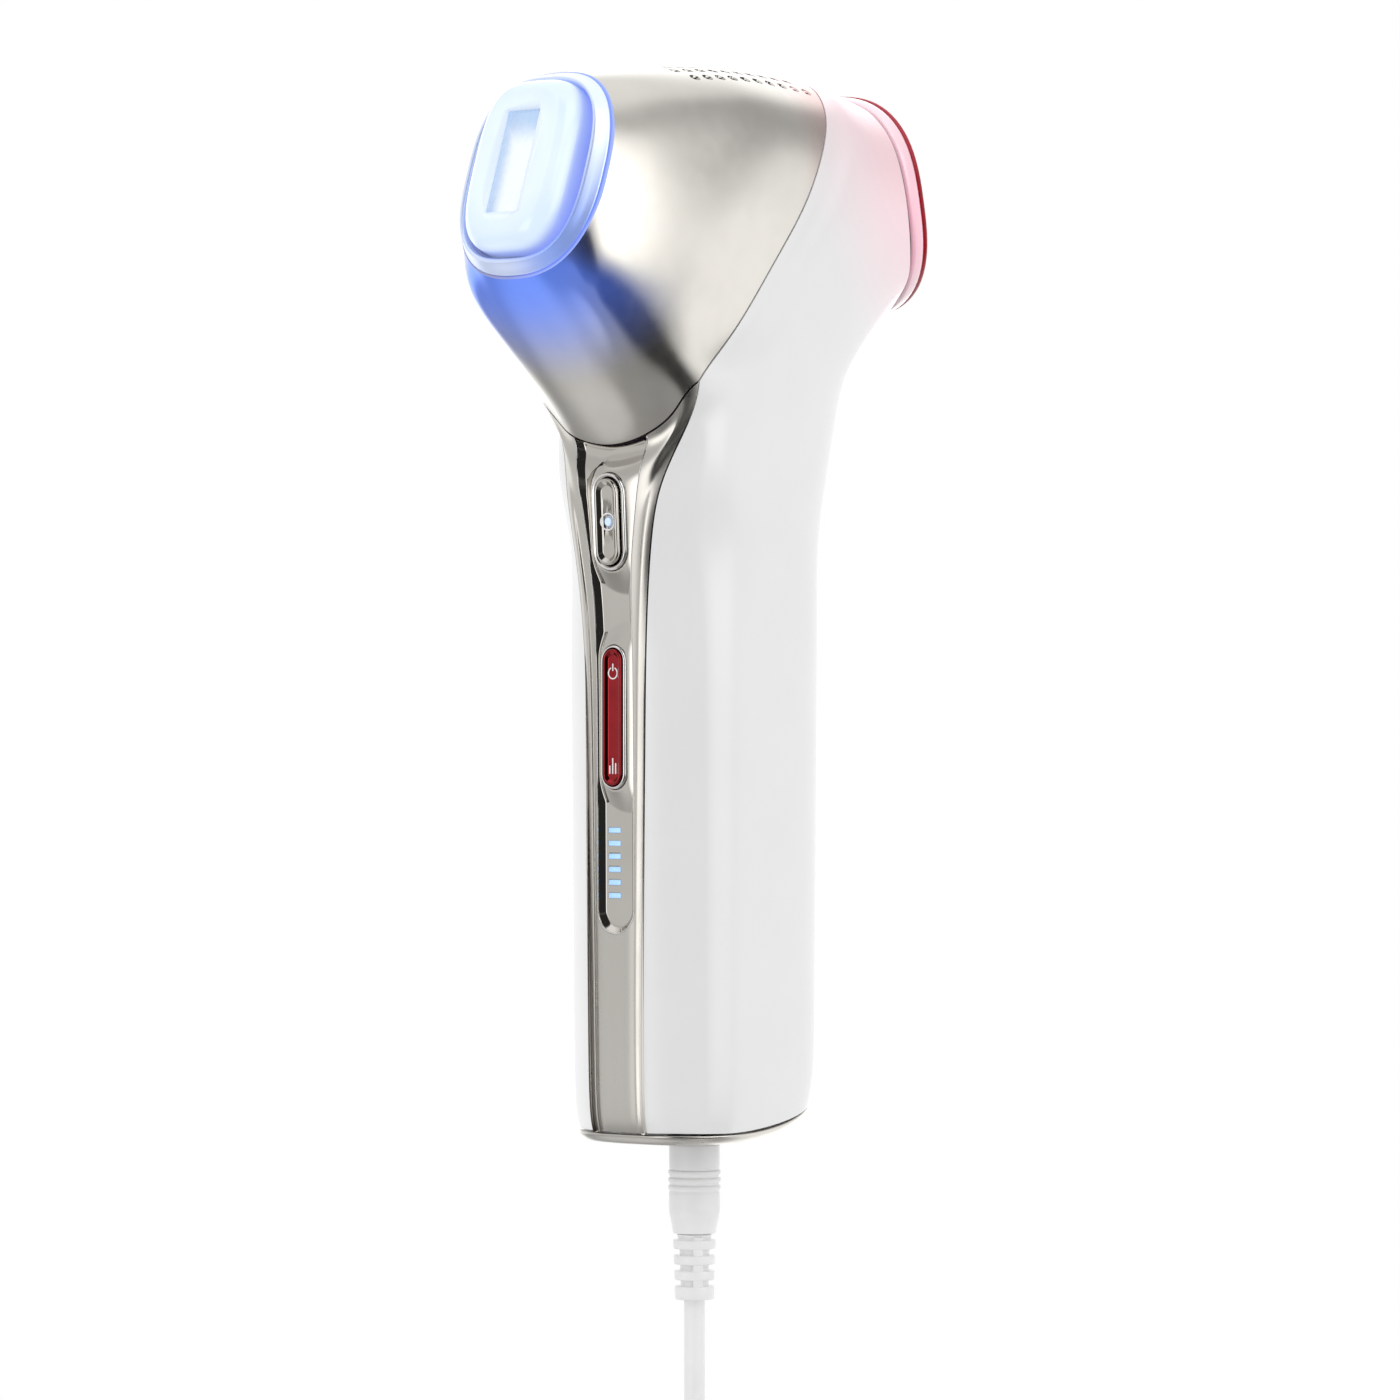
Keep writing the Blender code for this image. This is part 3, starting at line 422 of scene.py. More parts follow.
UPPER_SIDE = [
    [
        (19.5, -18.4, 42.3), (21.0, -6.0, 42.5), (20.5, 9.5, 43.0),
        (17.0, 21.3, 43.0), (9.3, 26.0, 43.0), (0, 27.0, 43.0),
    ],
    [
        (20.4, -17.0, 53.0), (21.3, -4.0, 54.0), (20.6, 12.5, 55.0),
        (17.0, 24.5, 56.0), (9.4, 29.3, 56.0), (0, 30.2, 56.0),
    ],
    [
        (21.3, -9.8, 62.8), (21.5, 4.0, 64.0), (20.5, 19.0, 66.0),
        (17.0, 29.5, 67.5), (9.5, 35.0, 68.0), (0, 36.3, 68.0),
    ],
]
SHOULDER = [
    [(21.4, 2.0, 74.5), (21.2, 21.0, 78.0)],
    [(22.0, 10.0, 87.5), (21.9, 26.5, 88.3)],
    [(22.1, 19.0, 99.0), (22.0, 30.5, 99.6)],
    [(21.4, 24.0, 110.0), (20.8, 32.5, 110.6)],
    [(17.6, 26.6, 117.9), (16.8, 33.0, 117.8)],
    [(9.8, 29.5, 123.4), (10.0, 33.8, 122.4)],
    [(0, 31.2, 124.7), (0, 34.8, 123.8)],
]
COLLAR_ANGLES = [-90, -72, -55, -38, -22, 0, 22, 45, 67, 90]
BEZEL_ANGLES = [-90, -76, -62, -47, -32, -16, 0, 17, 35, 52, 71, 90]
HEAD_STEPS = [0.28, 0.55, 0.8]
CHIN_SHARE = [0.25, 0.75, 0.95]
HEAD_BULGE = [
    (0, 0, 0), (0.2, -0.2, -0.2), (1.0, -0.6, -0.4), (1.7, -1.5, -1.3), (1.8, -1.0, -0.7),
    (2.6, -1.4, -1.1),
    (2.9, 0, 0), (2.9, 0, 0.5), (2.9, 0, 1.2), (2.4, 0, 1.8), (0.9, 0, 2.1), (0, 0, 2.1),
]
WIDTH_ZS = [-86, -79, -60, 0, 40, 62]
HALF_WIDTHS = [19.0, 19.9, 20.1, GRIP_HALF_WIDTH, 20.8, 21.3]
HALF_DEPTHS = [22.7, 23.8, 24.2, GRIP_HALF_DEPTH, 24.9, 25.2]


def half_width(z):
    return float(np.interp(z, WIDTH_ZS, HALF_WIDTHS))


def half_depth(z):
    return float(np.interp(z, WIDTH_ZS, HALF_DEPTHS))


def front_depth(z):
    deeper = float(np.interp(z, [-8, 14, 28, 38, 50], [0.0, 0.3, 1.2, 1.8, 1.9]))
    return half_depth(z) + deeper


def front_y(x, z):
    share = min(abs(x) / half_width(z), 1.0)
    return -front_depth(z) * (1 - share**SECTION_POWER) ** (1 / SECTION_POWER)


def base_edge(y):
    return BASE_Z + 3.5 * max(0.0, (y + 14) / 27) ** 2.5


def face_ring(centre, tilt, facing, half, power, degrees):
    """The +X side's point of a head face's outline, at an angle counted from its side to its top."""
    angle = math.radians(degrees)
    c, s = max(math.cos(angle), 0.0), math.sin(angle)
    x = half[0] * c ** (2 / power)
    v = half[1] * math.copysign(abs(s) ** (2 / power), s)
    lean = math.radians(tilt)
    return (x if c > 1e-9 else 0.0, centre[1] - facing * v * math.sin(lean), centre[2] + v * math.cos(lean))


def surface_targets():
    """Where the finished surface passes, for each named cage point of the +X side."""
    aims = {}
    for r, edge_z in enumerate(ROW_EDGE_Z):
        for c in range(5):
            x = STRIP_HALF[r] * ACROSS[c]
            z = ROW_MID_Z[r] + (edge_z - ROW_MID_Z[r]) * DROP[c]
            aims["s", r, c] = (x, front_y(x, z), z)
    for c in range(5):
        aims["s", TOP_ROW, c] = TONGUE[c]
    for r, z in enumerate(ROW_BACK_Z):
        for k, (sx, sy) in enumerate(SIDE_SHARES):
            aims["s", r, 5 + k] = (half_width(z) * sx, half_depth(z) * sy, z)
    for r in range(3):
        for k in range(6):
            aims["s", 7 + r, 5 + k] = UPPER_SIDE[r][k]
    for r in range(2):
        for c in range(11):
            x, y, _ = aims["s", r, c]
            aims["s", r, c] = (x, y, base_edge(y) + 6.4 * r)
    for k in range(7):
        aims["s", TOP_ROW + 1 + k, 4] = SPLIT[k]
        aims["s", TOP_ROW + 1 + k, 5] = SHOULDER[k][0]
        aims["s", TOP_ROW + 1 + k, 6] = SHOULDER[k][1]
    ring = [face_ring(REAR_CENTRE, REAR_TILT, 1, REAR_HALF, REAR_POWER, a) for a in COLLAR_ANGLES]
    for k in range(3):
        aims["s", TOP_ROW + 1, 10 - k] = ring[k]
    for k in range(7):
        aims["s", TOP_ROW + 1 + k, 7] = ring[3 + k]
    outer = [aims["s", TOP_ROW, c] for c in range(5)] + SPLIT
    for q, angle in enumerate(BEZEL_ANGLES):
        a = np.array(outer[q])
        b = np.array(face_ring(WINDOW_CENTRE, WINDOW_TILT, -1, WINDOW_HALF, 2.5, angle))
        aims["h", 4, q] = tuple(b)
        for m, f in enumerate(HEAD_STEPS):
            share = CHIN_SHARE[m] if q < 5 else 4 * f * (1 - f)
            aims["h", 1 + m, q] = tuple(a + (b - a) * f + np.array(HEAD_BULGE[q]) * share)
    return aims


def head_key(m, q):
    if m:
        return ("h", m, q)
    return ("s", TOP_ROW, q) if q < 5 else ("s", TOP_ROW - 4 + q, 4)


def surface_faces():
    """Quads of the +X side, each with its region: 0 head, 1 front strip, 2 white housing."""
    quads = []
    for m in range(4):
        for q in range(11):
            corners = [head_key(m, q), head_key(m, q + 1), head_key(m + 1, q + 1), head_key(m + 1, q)]
            quads.append((0, corners))
    for r in range(TOP_ROW + 7):
        columns = range(10) if r < TOP_ROW else range(4, 10) if r == TOP_ROW else range(4, 7)
        for c in columns:
            region = 1 if c < 4 else 2
            quads.append((region, [("s", r, c), ("s", r, c + 1), ("s", r + 1, c + 1), ("s", r + 1, c)]))
    return quads


def limit_positions(points, faces):
    """Where each cage point lands on the smooth surface that Catmull-Clark subdivision converges to."""
    count = len(points)
    edge_faces = {}
    for face in faces:
        for a, b in zip(face, face[1:] + face[:1]):
            edge_faces.setdefault((min(a, b), max(a, b)), []).append(face)
    rim = [[] for _ in range(count)]
    near = [[] for _ in range(count)]
    for (a, b), owners in edge_faces.items():
        near[a].append(b)
        near[b].append(a)
        if len(owners) == 1:
            rim[a].append(b)
            rim[b].append(a)
    across = [[] for _ in range(count)]
    for face in faces:
        for k in range(4):
            across[face[k]].append(face[(k + 2) % 4])
    limit = np.empty_like(points)
    for k in range(count):
        if rim[k]:
            limit[k] = (4 * points[k] + points[rim[k][0]] + points[rim[k][1]]) / 6
        else:
            n = len(near[k])
            total = n * n * points[k] + 4 * points[near[k]].sum(0) + points[across[k]].sum(0)
            limit[k] = total / (n * (n + 5))
    return limit


def build_surface(levels):
    """The whole outside as one subdivided mesh: points in mm, quads and the region of each quad."""
    aims = surface_targets()
    index, points = {}, []
    for key, aim in aims.items():
        index[1, key] = len(points)
        points.append(aim)
        if aim[0] < 1e-6:
            index[-1, key] = index[1, key]
        else:
            index[-1, key] = len(points)
            points.append((-aim[0], aim[1], aim[2]))
    faces, regions = [], []
    for region, keys in surface_faces():
        faces.append([index[1, key] for key in keys])
        faces.append([index[-1, key] for key in reversed(keys)])
        regions += [region, region]
    goal = np.array(points, float)
    cage = goal.copy()
    for _ in range(12):
        cage += goal - limit_positions(cage, faces)
    mesh = bpy.data.meshes.new("outer_cage")
    mesh.from_pydata([tuple(p * MM) for p in cage], [], faces)
    for polygon, region in zip(mesh.polygons, regions):
        polygon.material_index = region
    obj = bpy.data.objects.new("outer_cage", mesh)
    for _ in range(3):
        mesh.materials.append(None)
    bpy.context.scene.collection.objects.link(obj)
    smooth = obj.modifiers.new("smooth", "SUBSURF")
    smooth.levels = levels
    smooth.render_levels = levels
    bpy.context.view_layer.update()
    made = bpy.data.meshes.new_from_object(obj.evaluated_get(bpy.context.evaluated_depsgraph_get()))
    bpy.data.objects.remove(obj, do_unlink=True)
    return made


def region_sheet(name, region):
    """One region of the outer surface as an open sheet, its edges drawn in by half a seam."""
    work = bmesh.new()
    work.from_mesh(OUTER)
    others = [f for f in work.faces if f.material_index != region]
    bmesh.ops.delete(work, geom=others, context="FACES")
    work.normal_update()
    moves = {}
    for vert in work.verts:
        edges = [e for e in vert.link_edges if e.is_boundary]
        if len(edges) != 2:
            continue
        dirs = [(e.other_vert(vert).co - vert.co).normalized() for e in edges]
        inward = Vector()
        for edge in edges:
            along = (edge.verts[1].co - edge.verts[0].co).normalized()
            side = along.cross(edge.link_faces[0].normal)
            if side.dot(edge.link_faces[0].calc_center_median() - edge.verts[0].co) < 0:
                side.negate()
            inward += side
        inward.normalize()
        half_angle = 0.5 * math.acos(max(-1.0, min(1.0, dirs[0].dot(dirs[1]))))
        moves[vert] = inward * (SEAM / 2) * MM / max(math.sin(half_angle), 0.2)
    for vert, shift in moves.items():
        vert.co += shift
    mesh = mesh_from(work, name)
    for polygon in mesh.polygons:
        polygon.material_index = 0
    mesh.shade_smooth()
    return link_mesh(name, mesh)


def thicken(obj, depth):
    """Gives a sheet its depth inwards."""
    shell = obj.modifiers.new("shell", "SOLIDIFY")
    shell.thickness = depth * MM
    shell.offset = -1
    return shell


def shell_of(name, region, depth):
    """A region of the outer surface as a shell with a rounded rim."""
    obj = region_sheet(name, region)
    thicken(obj, depth).use_even_offset = True
    bake_modifiers(obj)
    return bake_modifiers(soften(obj, 0.22, 3, 50.0))


# ---------------------------------------------------------------- materials


class Nodes:
    """Makes and links the nodes of one tree."""

    def node(self, kind, **settings):
        made = self.tree.nodes.new(kind)
        for key, value in settings.items():
            setattr(made, key, value)
        return made

    def feed(self, socket, value):
        """Links an output to a socket, or sets a plain value on it."""
        if isinstance(value, bpy.types.NodeSocket):
            self.tree.links.new(value, socket)
        else:
            socket.default_value = value

    def calc(self, operation, *values):
        made = self.node("ShaderNodeMath", operation=operation)
        for socket, value in zip(made.inputs, values):
            self.feed(socket, value)
        return made.outputs[0]

    def remap(self, value, low, high, to_low=0.0, to_high=1.0):
        """A smooth step from to_low to to_high while the value goes from low to high."""
        made = self.node("ShaderNodeMapRange", interpolation_type="SMOOTHSTEP")
        for name, number in zip(("From Min", "From Max", "To Min", "To Max"), (low, high, to_low, to_high)):
            made.inputs[name].default_value = number
        self.feed(made.inputs["Value"], value)
        return made.outputs["Result"]

    def mix(self, share, a, b):
        """A number from a to b."""
        made = self.node("ShaderNodeMix", data_type="FLOAT")
        for socket, value in ((made.inputs[0], share), (made.inputs[2], a), (made.inputs[3], b)):
            self.feed(socket, value)
        return made.outputs[0]


class Look(Nodes):
    """Builds one material, with places in the piece's own coordinates, so that a look moves with it."""

    def __init__(self, name, **values):
        self.mat = bpy.data.materials.new(name)
        self.mat.use_nodes = True
        self.tree = self.mat.node_tree
        self.shader = self.tree.nodes["Principled BSDF"]
        self.place = self.node("ShaderNodeTexCoord").outputs["Object"]
        for key, value in values.items():
            self.shader.inputs[key.replace("_", " ")].default_value = value

    def noise(self, size, detail=3.0, stretch=(1, 1, 1)):
        """Noise with features of about `size` mm."""
        place = self.place
        if stretch != (1, 1, 1):
            mapping = self.node("ShaderNodeMapping")
            mapping.inputs["Scale"].default_value = stretch
            self.feed(mapping.inputs["Vector"], place)
            place = mapping.outputs[0]
        made = self.node("ShaderNodeTexNoise")
        made.inputs["Scale"].default_value = 1 / (size * MM)
        made.inputs["Detail"].default_value = detail
        self.feed(made.inputs["Vector"], place)
        return made.outputs["Fac"]

    def vary(self, size, low=0.0, high=1.0, detail=3.0, stretch=(1, 1, 1)):
        """A number that wanders from low to high."""
        return self.remap(self.noise(size, detail, stretch), 0.3, 0.7, low, high)

    def within(self, where):
        """The place in millimetres in the frame `where`, as three outputs."""
        mapping = self.node("ShaderNodeMapping", vector_type="TEXTURE")
        mapping.inputs["Location"].default_value = where.translation * MM
        mapping.inputs["Rotation"].default_value = where.to_euler()
        mapping.inputs["Scale"].default_value = (MM, MM, MM)
        self.feed(mapping.inputs["Vector"], self.place)
        parts = self.node("ShaderNodeSeparateXYZ")
        self.feed(parts.inputs[0], mapping.outputs[0])
        return tuple(parts.outputs)

    def reach(self, spots, scales, centre):
        """The distance in millimetres from a centre, with each direction scaled."""
        total = None
        for spot, scale, middle in zip(spots, scales, centre):
            part = self.calc("MULTIPLY", self.calc("SUBTRACT", spot, middle), scale)
            part = self.calc("MULTIPLY", part, part)
            total = part if total is None else self.calc("ADD", total, part)
        return self.calc("SQRT", total)

    def blend(self, share, a, b):
        """A colour from a to b."""
        made = self.node("ShaderNodeMix", data_type="RGBA")
        self.feed(made.inputs[0], share)
        for socket, colour in ((made.inputs[6], a), (made.inputs[7], b)):
            self.feed(socket, (*colour, 1.0) if isinstance(colour, tuple) else colour)
        return made.outputs[2]

    def mottled(self, a, b, size, stretch=(1, 1, 1)):
        """A slight colour variation between a and b."""
        return self.blend(self.vary(size, detail=2.0, stretch=stretch), a, b)

    def skin(self, colour, rough, size, bump, depth, stretch=(1, 1, 1)):
        """A base colour, roughness that varies over `size` mm, and a fine bump `depth` mm deep."""
        self.feed(self.shader.inputs["Base Color"], colour)
        self.feed(self.shader.inputs["Roughness"], self.vary(size, *rough, stretch=stretch))
        self.ripple(bump, depth)

    def ripple(self, size, depth):
        made = self.node("ShaderNodeBump")
        made.inputs["Distance"].default_value = depth * MM
        self.feed(made.inputs["Height"], self.noise(size, 4.0))
        self.feed(self.shader.inputs["Normal"], made.outputs[0])

    def lit(self, colour, strength):
        self.shader.inputs["Emission Color"].default_value = (*colour, 1.0)
        self.feed(self.shader.inputs["Emission Strength"], strength)
        return self.mat


def simple(name, a, b, rough, size=8.0, grain=0.4, depth=0.004, **values):
    """A moulded or metal finish: two close colours, uneven roughness and a fine bump."""
    look = Look(name, **values)
    look.skin(look.mottled(a, b, size), rough, size * 0.3, grain, depth)
    return look.mat


def greys(name, low, high, *finish, **values):
    """A finish between two greys."""
    return simple(name, (low,) * 3, (high,) * 3, *finish, **values)


def facing(look, low, high):
    """1 where the surface looks down (a normal's Z of low or less), 0 where it is above high."""
    parts = look.node("ShaderNodeSeparateXYZ")
    look.feed(parts.inputs[0], look.node("ShaderNodeNewGeometry").outputs["Normal"])
    return look.remap(parts.outputs[2], low, high, 1.0, 0.0)


def painted_window_light(look):
    """How much blue window light is painted onto a place: on faces that look down, most of it near the
    window.
    """
    away = look.reach(look.within(WINDOW), (0.85, 1.0, 0.9), (-1.0, -10.0, 0.0))
    return look.calc("MULTIPLY", look.remap(away, 12.0, 34.0, 1.0, 0.0), facing(look, -0.36, -0.02))


def painted_pink_light(look, inner, outer):
    """How much of the rear lamp's pink light is painted onto a place."""
    away = look.reach(look.within(REAR), (1.0, 0.85, 1.0), (0.0, 7.0, 0.0))
    return look.remap(away, inner, outer, 1.0, 0.0)


CHAMPAGNE_A = (0.565, 0.545, 0.505)
CHAMPAGNE_B = (0.6, 0.58, 0.54)


def head_metal():
    look = Look("satin_champagne_head", Metallic=1.0, IOR=1.6)
    # Painted light: the window's blue light is painted into the base colour and the emission, on faces that
    # look down near the window.
    blue = painted_window_light(look)
    # Painted light: the rear lamp's pink light is painted into the base colour near the rear head.
    pink = look.calc("MULTIPLY", painted_pink_light(look, 24.0, 42.0), 0.55)
    plain = look.mottled(CHAMPAGNE_A, CHAMPAGNE_B, 14.0)
    window_lit = look.blend(look.calc("MULTIPLY", blue, 0.9), plain, (0.12, 0.24, 0.75))
    look.skin(look.blend(pink, window_lit, (0.62, 0.33, 0.33)), (0.2, 0.24), 3.0, 0.12, 0.0012)
    return look.lit((0.1, 0.22, 1.0), look.calc("MULTIPLY", blue, 0.4))


def strip_metal():
    look = Look("satin_champagne", Metallic=1.0, IOR=1.6)
    plain = look.mottled(CHAMPAGNE_A, CHAMPAGNE_B, 16.0, (1, 1, 0.2))
    look.skin(plain, (0.27, 0.31), 3.0, 0.12, 0.0012, (1, 1, 0.3))
    return look.mat


def panel_metal():
    look = Look("polished_champagne_panel", Metallic=1.0, IOR=1.8)
    plain = look.mottled((0.55, 0.53, 0.49), (0.585, 0.56, 0.52), 12.0)
    look.skin(plain, (0.05, 0.085), 4.0, 1.5, 0.0008)
    return look.mat


def bezel_metal():
    look = Look("bezel_metal_painted_blue_light", Metallic=0.6)
    x, y, _ = look.within(WINDOW)
    # Painted light: a pale blue base with the window's blue light painted in, deeper towards the lower
    # right, and a glow though the bezel is no lamp.
    low = look.calc("MULTIPLY", look.remap(y, -17.0, 7.0, 1.0, 0.0), look.remap(x, -2.0, 12.0))
    plain = look.mottled((0.72, 0.78, 0.92), (0.68, 0.75, 0.92), 9.0)
    look.skin(look.blend(low, plain, (0.2, 0.32, 0.85)), (0.28, 0.32), 5.0, 2.5, 0.0008)
    return look.lit((0.42, 0.56, 1.0), look.remap(low, 0.0, 1.0, 0.2, 0.32))


def gap_blue():
    look = Look("lit_gap_blue", IOR=1.45)
    # Painted light: the window's blue light is painted into the gap's wall, bluer and glowing more towards
    # +X.
    across = look.within(WINDOW)[0]
    dark = look.mottled((0.3, 0.3, 0.5), (0.34, 0.34, 0.55), 5.0)
    blue = look.blend(look.remap(across, -8.0, 10.0), dark, (0.26, 0.34, 0.85))
    look.skin(blue, (0.3, 0.4), 3.0, 1.0, 0.002)
    return look.lit((0.3, 0.42, 1.0), look.remap(across, -8.0, 10.0, 0.1, 0.36))


def ice():
    look = Look("lit_ice_block", IOR=1.45, Coat_Weight=0.5, Coat_Roughness=0.06)
    spot = look.within(WINDOW)
    edge = look.remap(look.reach(spot, (1.28, 1.0, 0.0), (0.0, 0.3, 0.0)), 10.0, 18.0)
    side = look.remap(spot[2], 2.4, 5.6, 1.0, 0.0)
    face = look.blend(edge, (0.66, 0.73, 0.83), (0.56, 0.66, 0.83))
    body = look.blend(look.vary(5.0, 0.0, 0.06), face, (0.45, 0.55, 0.8))
    body = look.blend(look.calc("MULTIPLY", side, 0.8), body, (0.2, 0.27, 0.68))
    look.skin(body, (0.12, 0.18), 2.0, 2.0, 0.002)
    glow = look.calc("MULTIPLY", look.vary(9.0, 0.33, 0.37), look.remap(side, 0.0, 1.0, 1.0, 0.7))
    return look.lit((0.7, 0.83, 1.0), glow)


def flash_glass():
    look = Look("lit_flash_filter", IOR=1.5, Coat_Weight=1.0, Coat_Roughness=0.02)
    x, y, _ = look.within(WINDOW)
    left = look.calc("MULTIPLY", look.remap(x, -3.9, 0.2, 1.0, 0.0), 0.85)
    deep = look.calc("MAXIMUM", look.remap(y, 2.0, 9.5), left)
    fine = look.calc("ADD", deep, look.vary(1.2, -0.05, 0.05))
    look.skin(look.blend(fine, (0.72, 0.74, 0.78), (0.34, 0.52, 0.8)), (0.05, 0.1), 2.0, 3.0, 0.002)
    return look.lit((0.8, 0.9, 1.0), look.remap(fine, 0.0, 1.0, 0.36, 0.14))


def white_shell():
    look = Look("white_gloss_shell", IOR=1.5, Coat_Weight=0.5, Coat_Roughness=0.08)
    # Painted light: the rear lamp's pink light is painted into the base colour and a faint emission near
    # the rear head.
    pink = painted_pink_light(look, 9.0, 40.0)
    plain = look.mottled((0.80, 0.80, 0.805), (0.815, 0.815, 0.82), 20.0)
    look.skin(look.blend(pink, plain, (0.93, 0.56, 0.63)), (0.2, 0.24), 6.0, 3.0, 0.0012)
    return look.lit((1.0, 0.55, 0.65), look.calc("MULTIPLY", pink, 0.1))


def rear_glow():
    look = Look("pink_translucent_ring_painted_glow", IOR=1.5, Coat_Weight=1.0, Coat_Roughness=0.03)
    # The pink is the ring's own colour; the rear lamp's glow is painted in, paler and glowing more towards
    # the top and greyer at the bottom.
    up = look.within(REAR)[1]
    body = look.blend(look.remap(up, -2.0, 20.0), (0.88, 0.5, 0.6), (0.95, 0.74, 0.8))
    body = look.blend(look.remap(up, -23.0, -10.0, 1.0, 0.0), body, (0.7, 0.62, 0.64))
    look.skin(body, (0.08, 0.13), 3.0, 2.0, 0.002)
    return look.lit((1.0, 0.5, 0.62), look.remap(up, -20.0, 5.0, 0.02, 0.14))


def red_lens():
    look = Look("lit_red_lens", IOR=1.22, Coat_Weight=0.04, Coat_Roughness=0.1)
    spot = look.within(REAR)
    low = look.calc("MULTIPLY", look.remap(spot[1], -23.0, -9.0, 1.0, 0.0), 0.7)
    high = look.calc("MULTIPLY", look.remap(spot[1], 2.0, 18.0), 0.6)
    middle = look.remap(look.reach(spot, (1.1, 1.0, 0.0), (0.0, 0.0, 0.0)), 6.0, 19.0, 1.0, 0.0)
    body = look.blend(look.vary(4.0), (0.27, 0.006, 0.014), (0.32, 0.01, 0.02))
    body = look.blend(high, body, (0.5, 0.08, 0.11))
    look.skin(look.blend(low, body, (0.36, 0.26, 0.27)), (0.12, 0.18), 2.0, 2.5, 0.003)
    return look.lit((1.0, 0.04, 0.07), look.remap(middle, 0.0, 1.0, 0.03, 0.5))


def lamp_light(name, colour, strength):
    look = Look(name, Roughness=0.3, Coat_Weight=0.5)
    paler = tuple(min(1.0, c * 1.1) for c in colour)
    look.feed(look.shader.inputs["Base Color"], look.mottled(colour, paler, 1.0))
    look.ripple(0.6, 0.002)
    return look.lit(colour, look.remap(look.noise(0.9), 0.25, 0.75, strength * 0.85, strength))


METAL = {"Metallic": 1.0}
HEAD_METAL = head_metal()
STRIP_METAL = strip_metal()
PANEL_METAL = panel_metal()
BEZEL_METAL = bezel_metal()
GAP_BLUE = gap_blue()
# Painted shade: near-black for the vent holes' walls, where shade falls inside the holes.
VENT_PAINTED_SHADE = simple("vent_painted_shade", (0.03, 0.029, 0.027), (0.045, 0.043, 0.04), (0.4, 0.5), 1.0, 0.2)
CHROME = simple(
    "ring_chrome", (0.8, 0.79, 0.78), (0.85, 0.84, 0.83), (0.03, 0.06), 4.0, 1.0, 0.0005, **METAL
)
SHELL_WHITE = white_shell()
ICE = ice()
FLASH_GLASS = flash_glass()
REAR_GLOW = rear_glow()
RED_LENS = red_lens()
RED_KEY = simple(
    "red_anodised_key", (0.30, 0.018, 0.023), (0.35, 0.022, 0.028), (0.06, 0.1), 5.0, 1.5, 0.0008,
    Metallic=1.0, Coat_Weight=0.15, Coat_Roughness=0.03,
)
LEVEL_BLUE = lamp_light("level_light_blue", (0.36, 0.6, 0.92), 0.4)
DOT_BLUE = lamp_light("dot_light_blue", (0.5, 0.64, 0.9), 0.45)
LED_RED = lamp_light("red_led", (1.0, 0.08, 0.06), 2.0)
PRINT_WHITE = greys("printed_white", 0.86, 0.92, (0.35, 0.5), 1.0, 0.1, 0.002)
SEAL_GREY = simple("grey_rubber_seal", (0.1, 0.1, 0.1), (0.14, 0.135, 0.135), (0.5, 0.62), 3.0, 0.3, 0.01)
LEAD_WHITE = simple(
    "soft_white_lead", (0.86, 0.86, 0.865), (0.89, 0.89, 0.89), (0.38, 0.48), 6.0, 0.35, 0.006
)
ADAPTER_WHITE = simple(
    "adapter_white", (0.78, 0.78, 0.785), (0.81, 0.81, 0.81), (0.4, 0.5), 8.0, 0.25, 0.02
)
NICKEL = simple(
    "nickel_plate", (0.68, 0.66, 0.62), (0.74, 0.72, 0.68), (0.16, 0.26), 3.0, 0.2, 0.001, **METAL
)
BLACK = simple(
    "black_moulded", (0.022, 0.022, 0.025), (0.034, 0.034, 0.038), (0.42, 0.56), 5.0, 0.2, 0.012
)
ALUMINIUM = simple(
    "milled_aluminium", (0.62, 0.63, 0.64), (0.7, 0.71, 0.72), (0.26, 0.4), 2.0, 0.15, 0.002, **METAL
)
MIRROR = greys("lamp_mirror", 0.88, 0.92, (0.04, 0.08), 3.0, 1.0, 0.001, **METAL)
QUARTZ = simple(
    "quartz_tube", (0.88, 0.9, 0.93), (0.94, 0.95, 0.97), (0.03, 0.08), 3.0, 1.0, 0.002, Coat_Weight=1.0
)
CERAMIC = simple("fired_ceramic", (0.78, 0.76, 0.7), (0.85, 0.83, 0.78), (0.55, 0.7), 1.5, 0.2, 0.02)
STEEL = simple(
    "screw_steel", (0.45, 0.45, 0.46), (0.55, 0.55, 0.56), (0.22, 0.34), 1.5, 0.15, 0.003, **METAL
)
SLEEVE = simple(
    "capacitor_sleeve", (0.025, 0.05, 0.16), (0.035, 0.07, 0.2), (0.22, 0.34), 6.0, 0.5, 0.006
)
BOARD = simple(
    "solder_mask", (0.012, 0.1, 0.035), (0.02, 0.15, 0.055), (0.3, 0.45), 2.2, 0.4, 0.01, Coat_Weight=0.3
)


# ---------------------------------------------------------------- outside shells

OUTER = build_surface(3)
work = bmesh.new()
work.from_mesh(OUTER)
OUTER_TREE = BVHTree.FromBMesh(work)
work.free()

regions_at = {}
for polygon in OUTER.polygons:
    for index in polygon.vertices:
        regions_at.setdefault(index, set()).add(polygon.material_index)
TONGUE_INDEX = {index for index, found in regions_at.items() if {0, 1} <= found}
TONGUE_EDGE = sorted((OUTER.vertices[i].co.x / MM, OUTER.vertices[i].co.z / MM) for i in TONGUE_INDEX)


def surface_y(x, z):
    """Where the outer surface lies in front of the handle's axis, in mm."""
    hit = OUTER_TREE.ray_cast(Vector((x, -100.0, z)) * MM, Vector((0, 1, 0)))[0]
    return hit.y / MM if hit else front_y(x, min(z, 50.0))


def vent_spots():
    """The middle of every vent on the outer surface and its turn, in rows along the head's top."""
    for row, (x, z) in enumerate(VENT_ROWS):
        first = VENT_FIRST_Y - VENT_PITCH / 2 * (row % 2)
        for side in (1, -1):
            turn = Matrix.Rotation(side * math.atan2(x, z - 104), 4, "Y")
            for k in range(VENT_COUNT):
                above = Vector((side * x, first + VENT_PITCH * k, 200)) * MM
                yield OUTER_TREE.ray_cast(above, Vector((0, 0, -1)))[0], turn


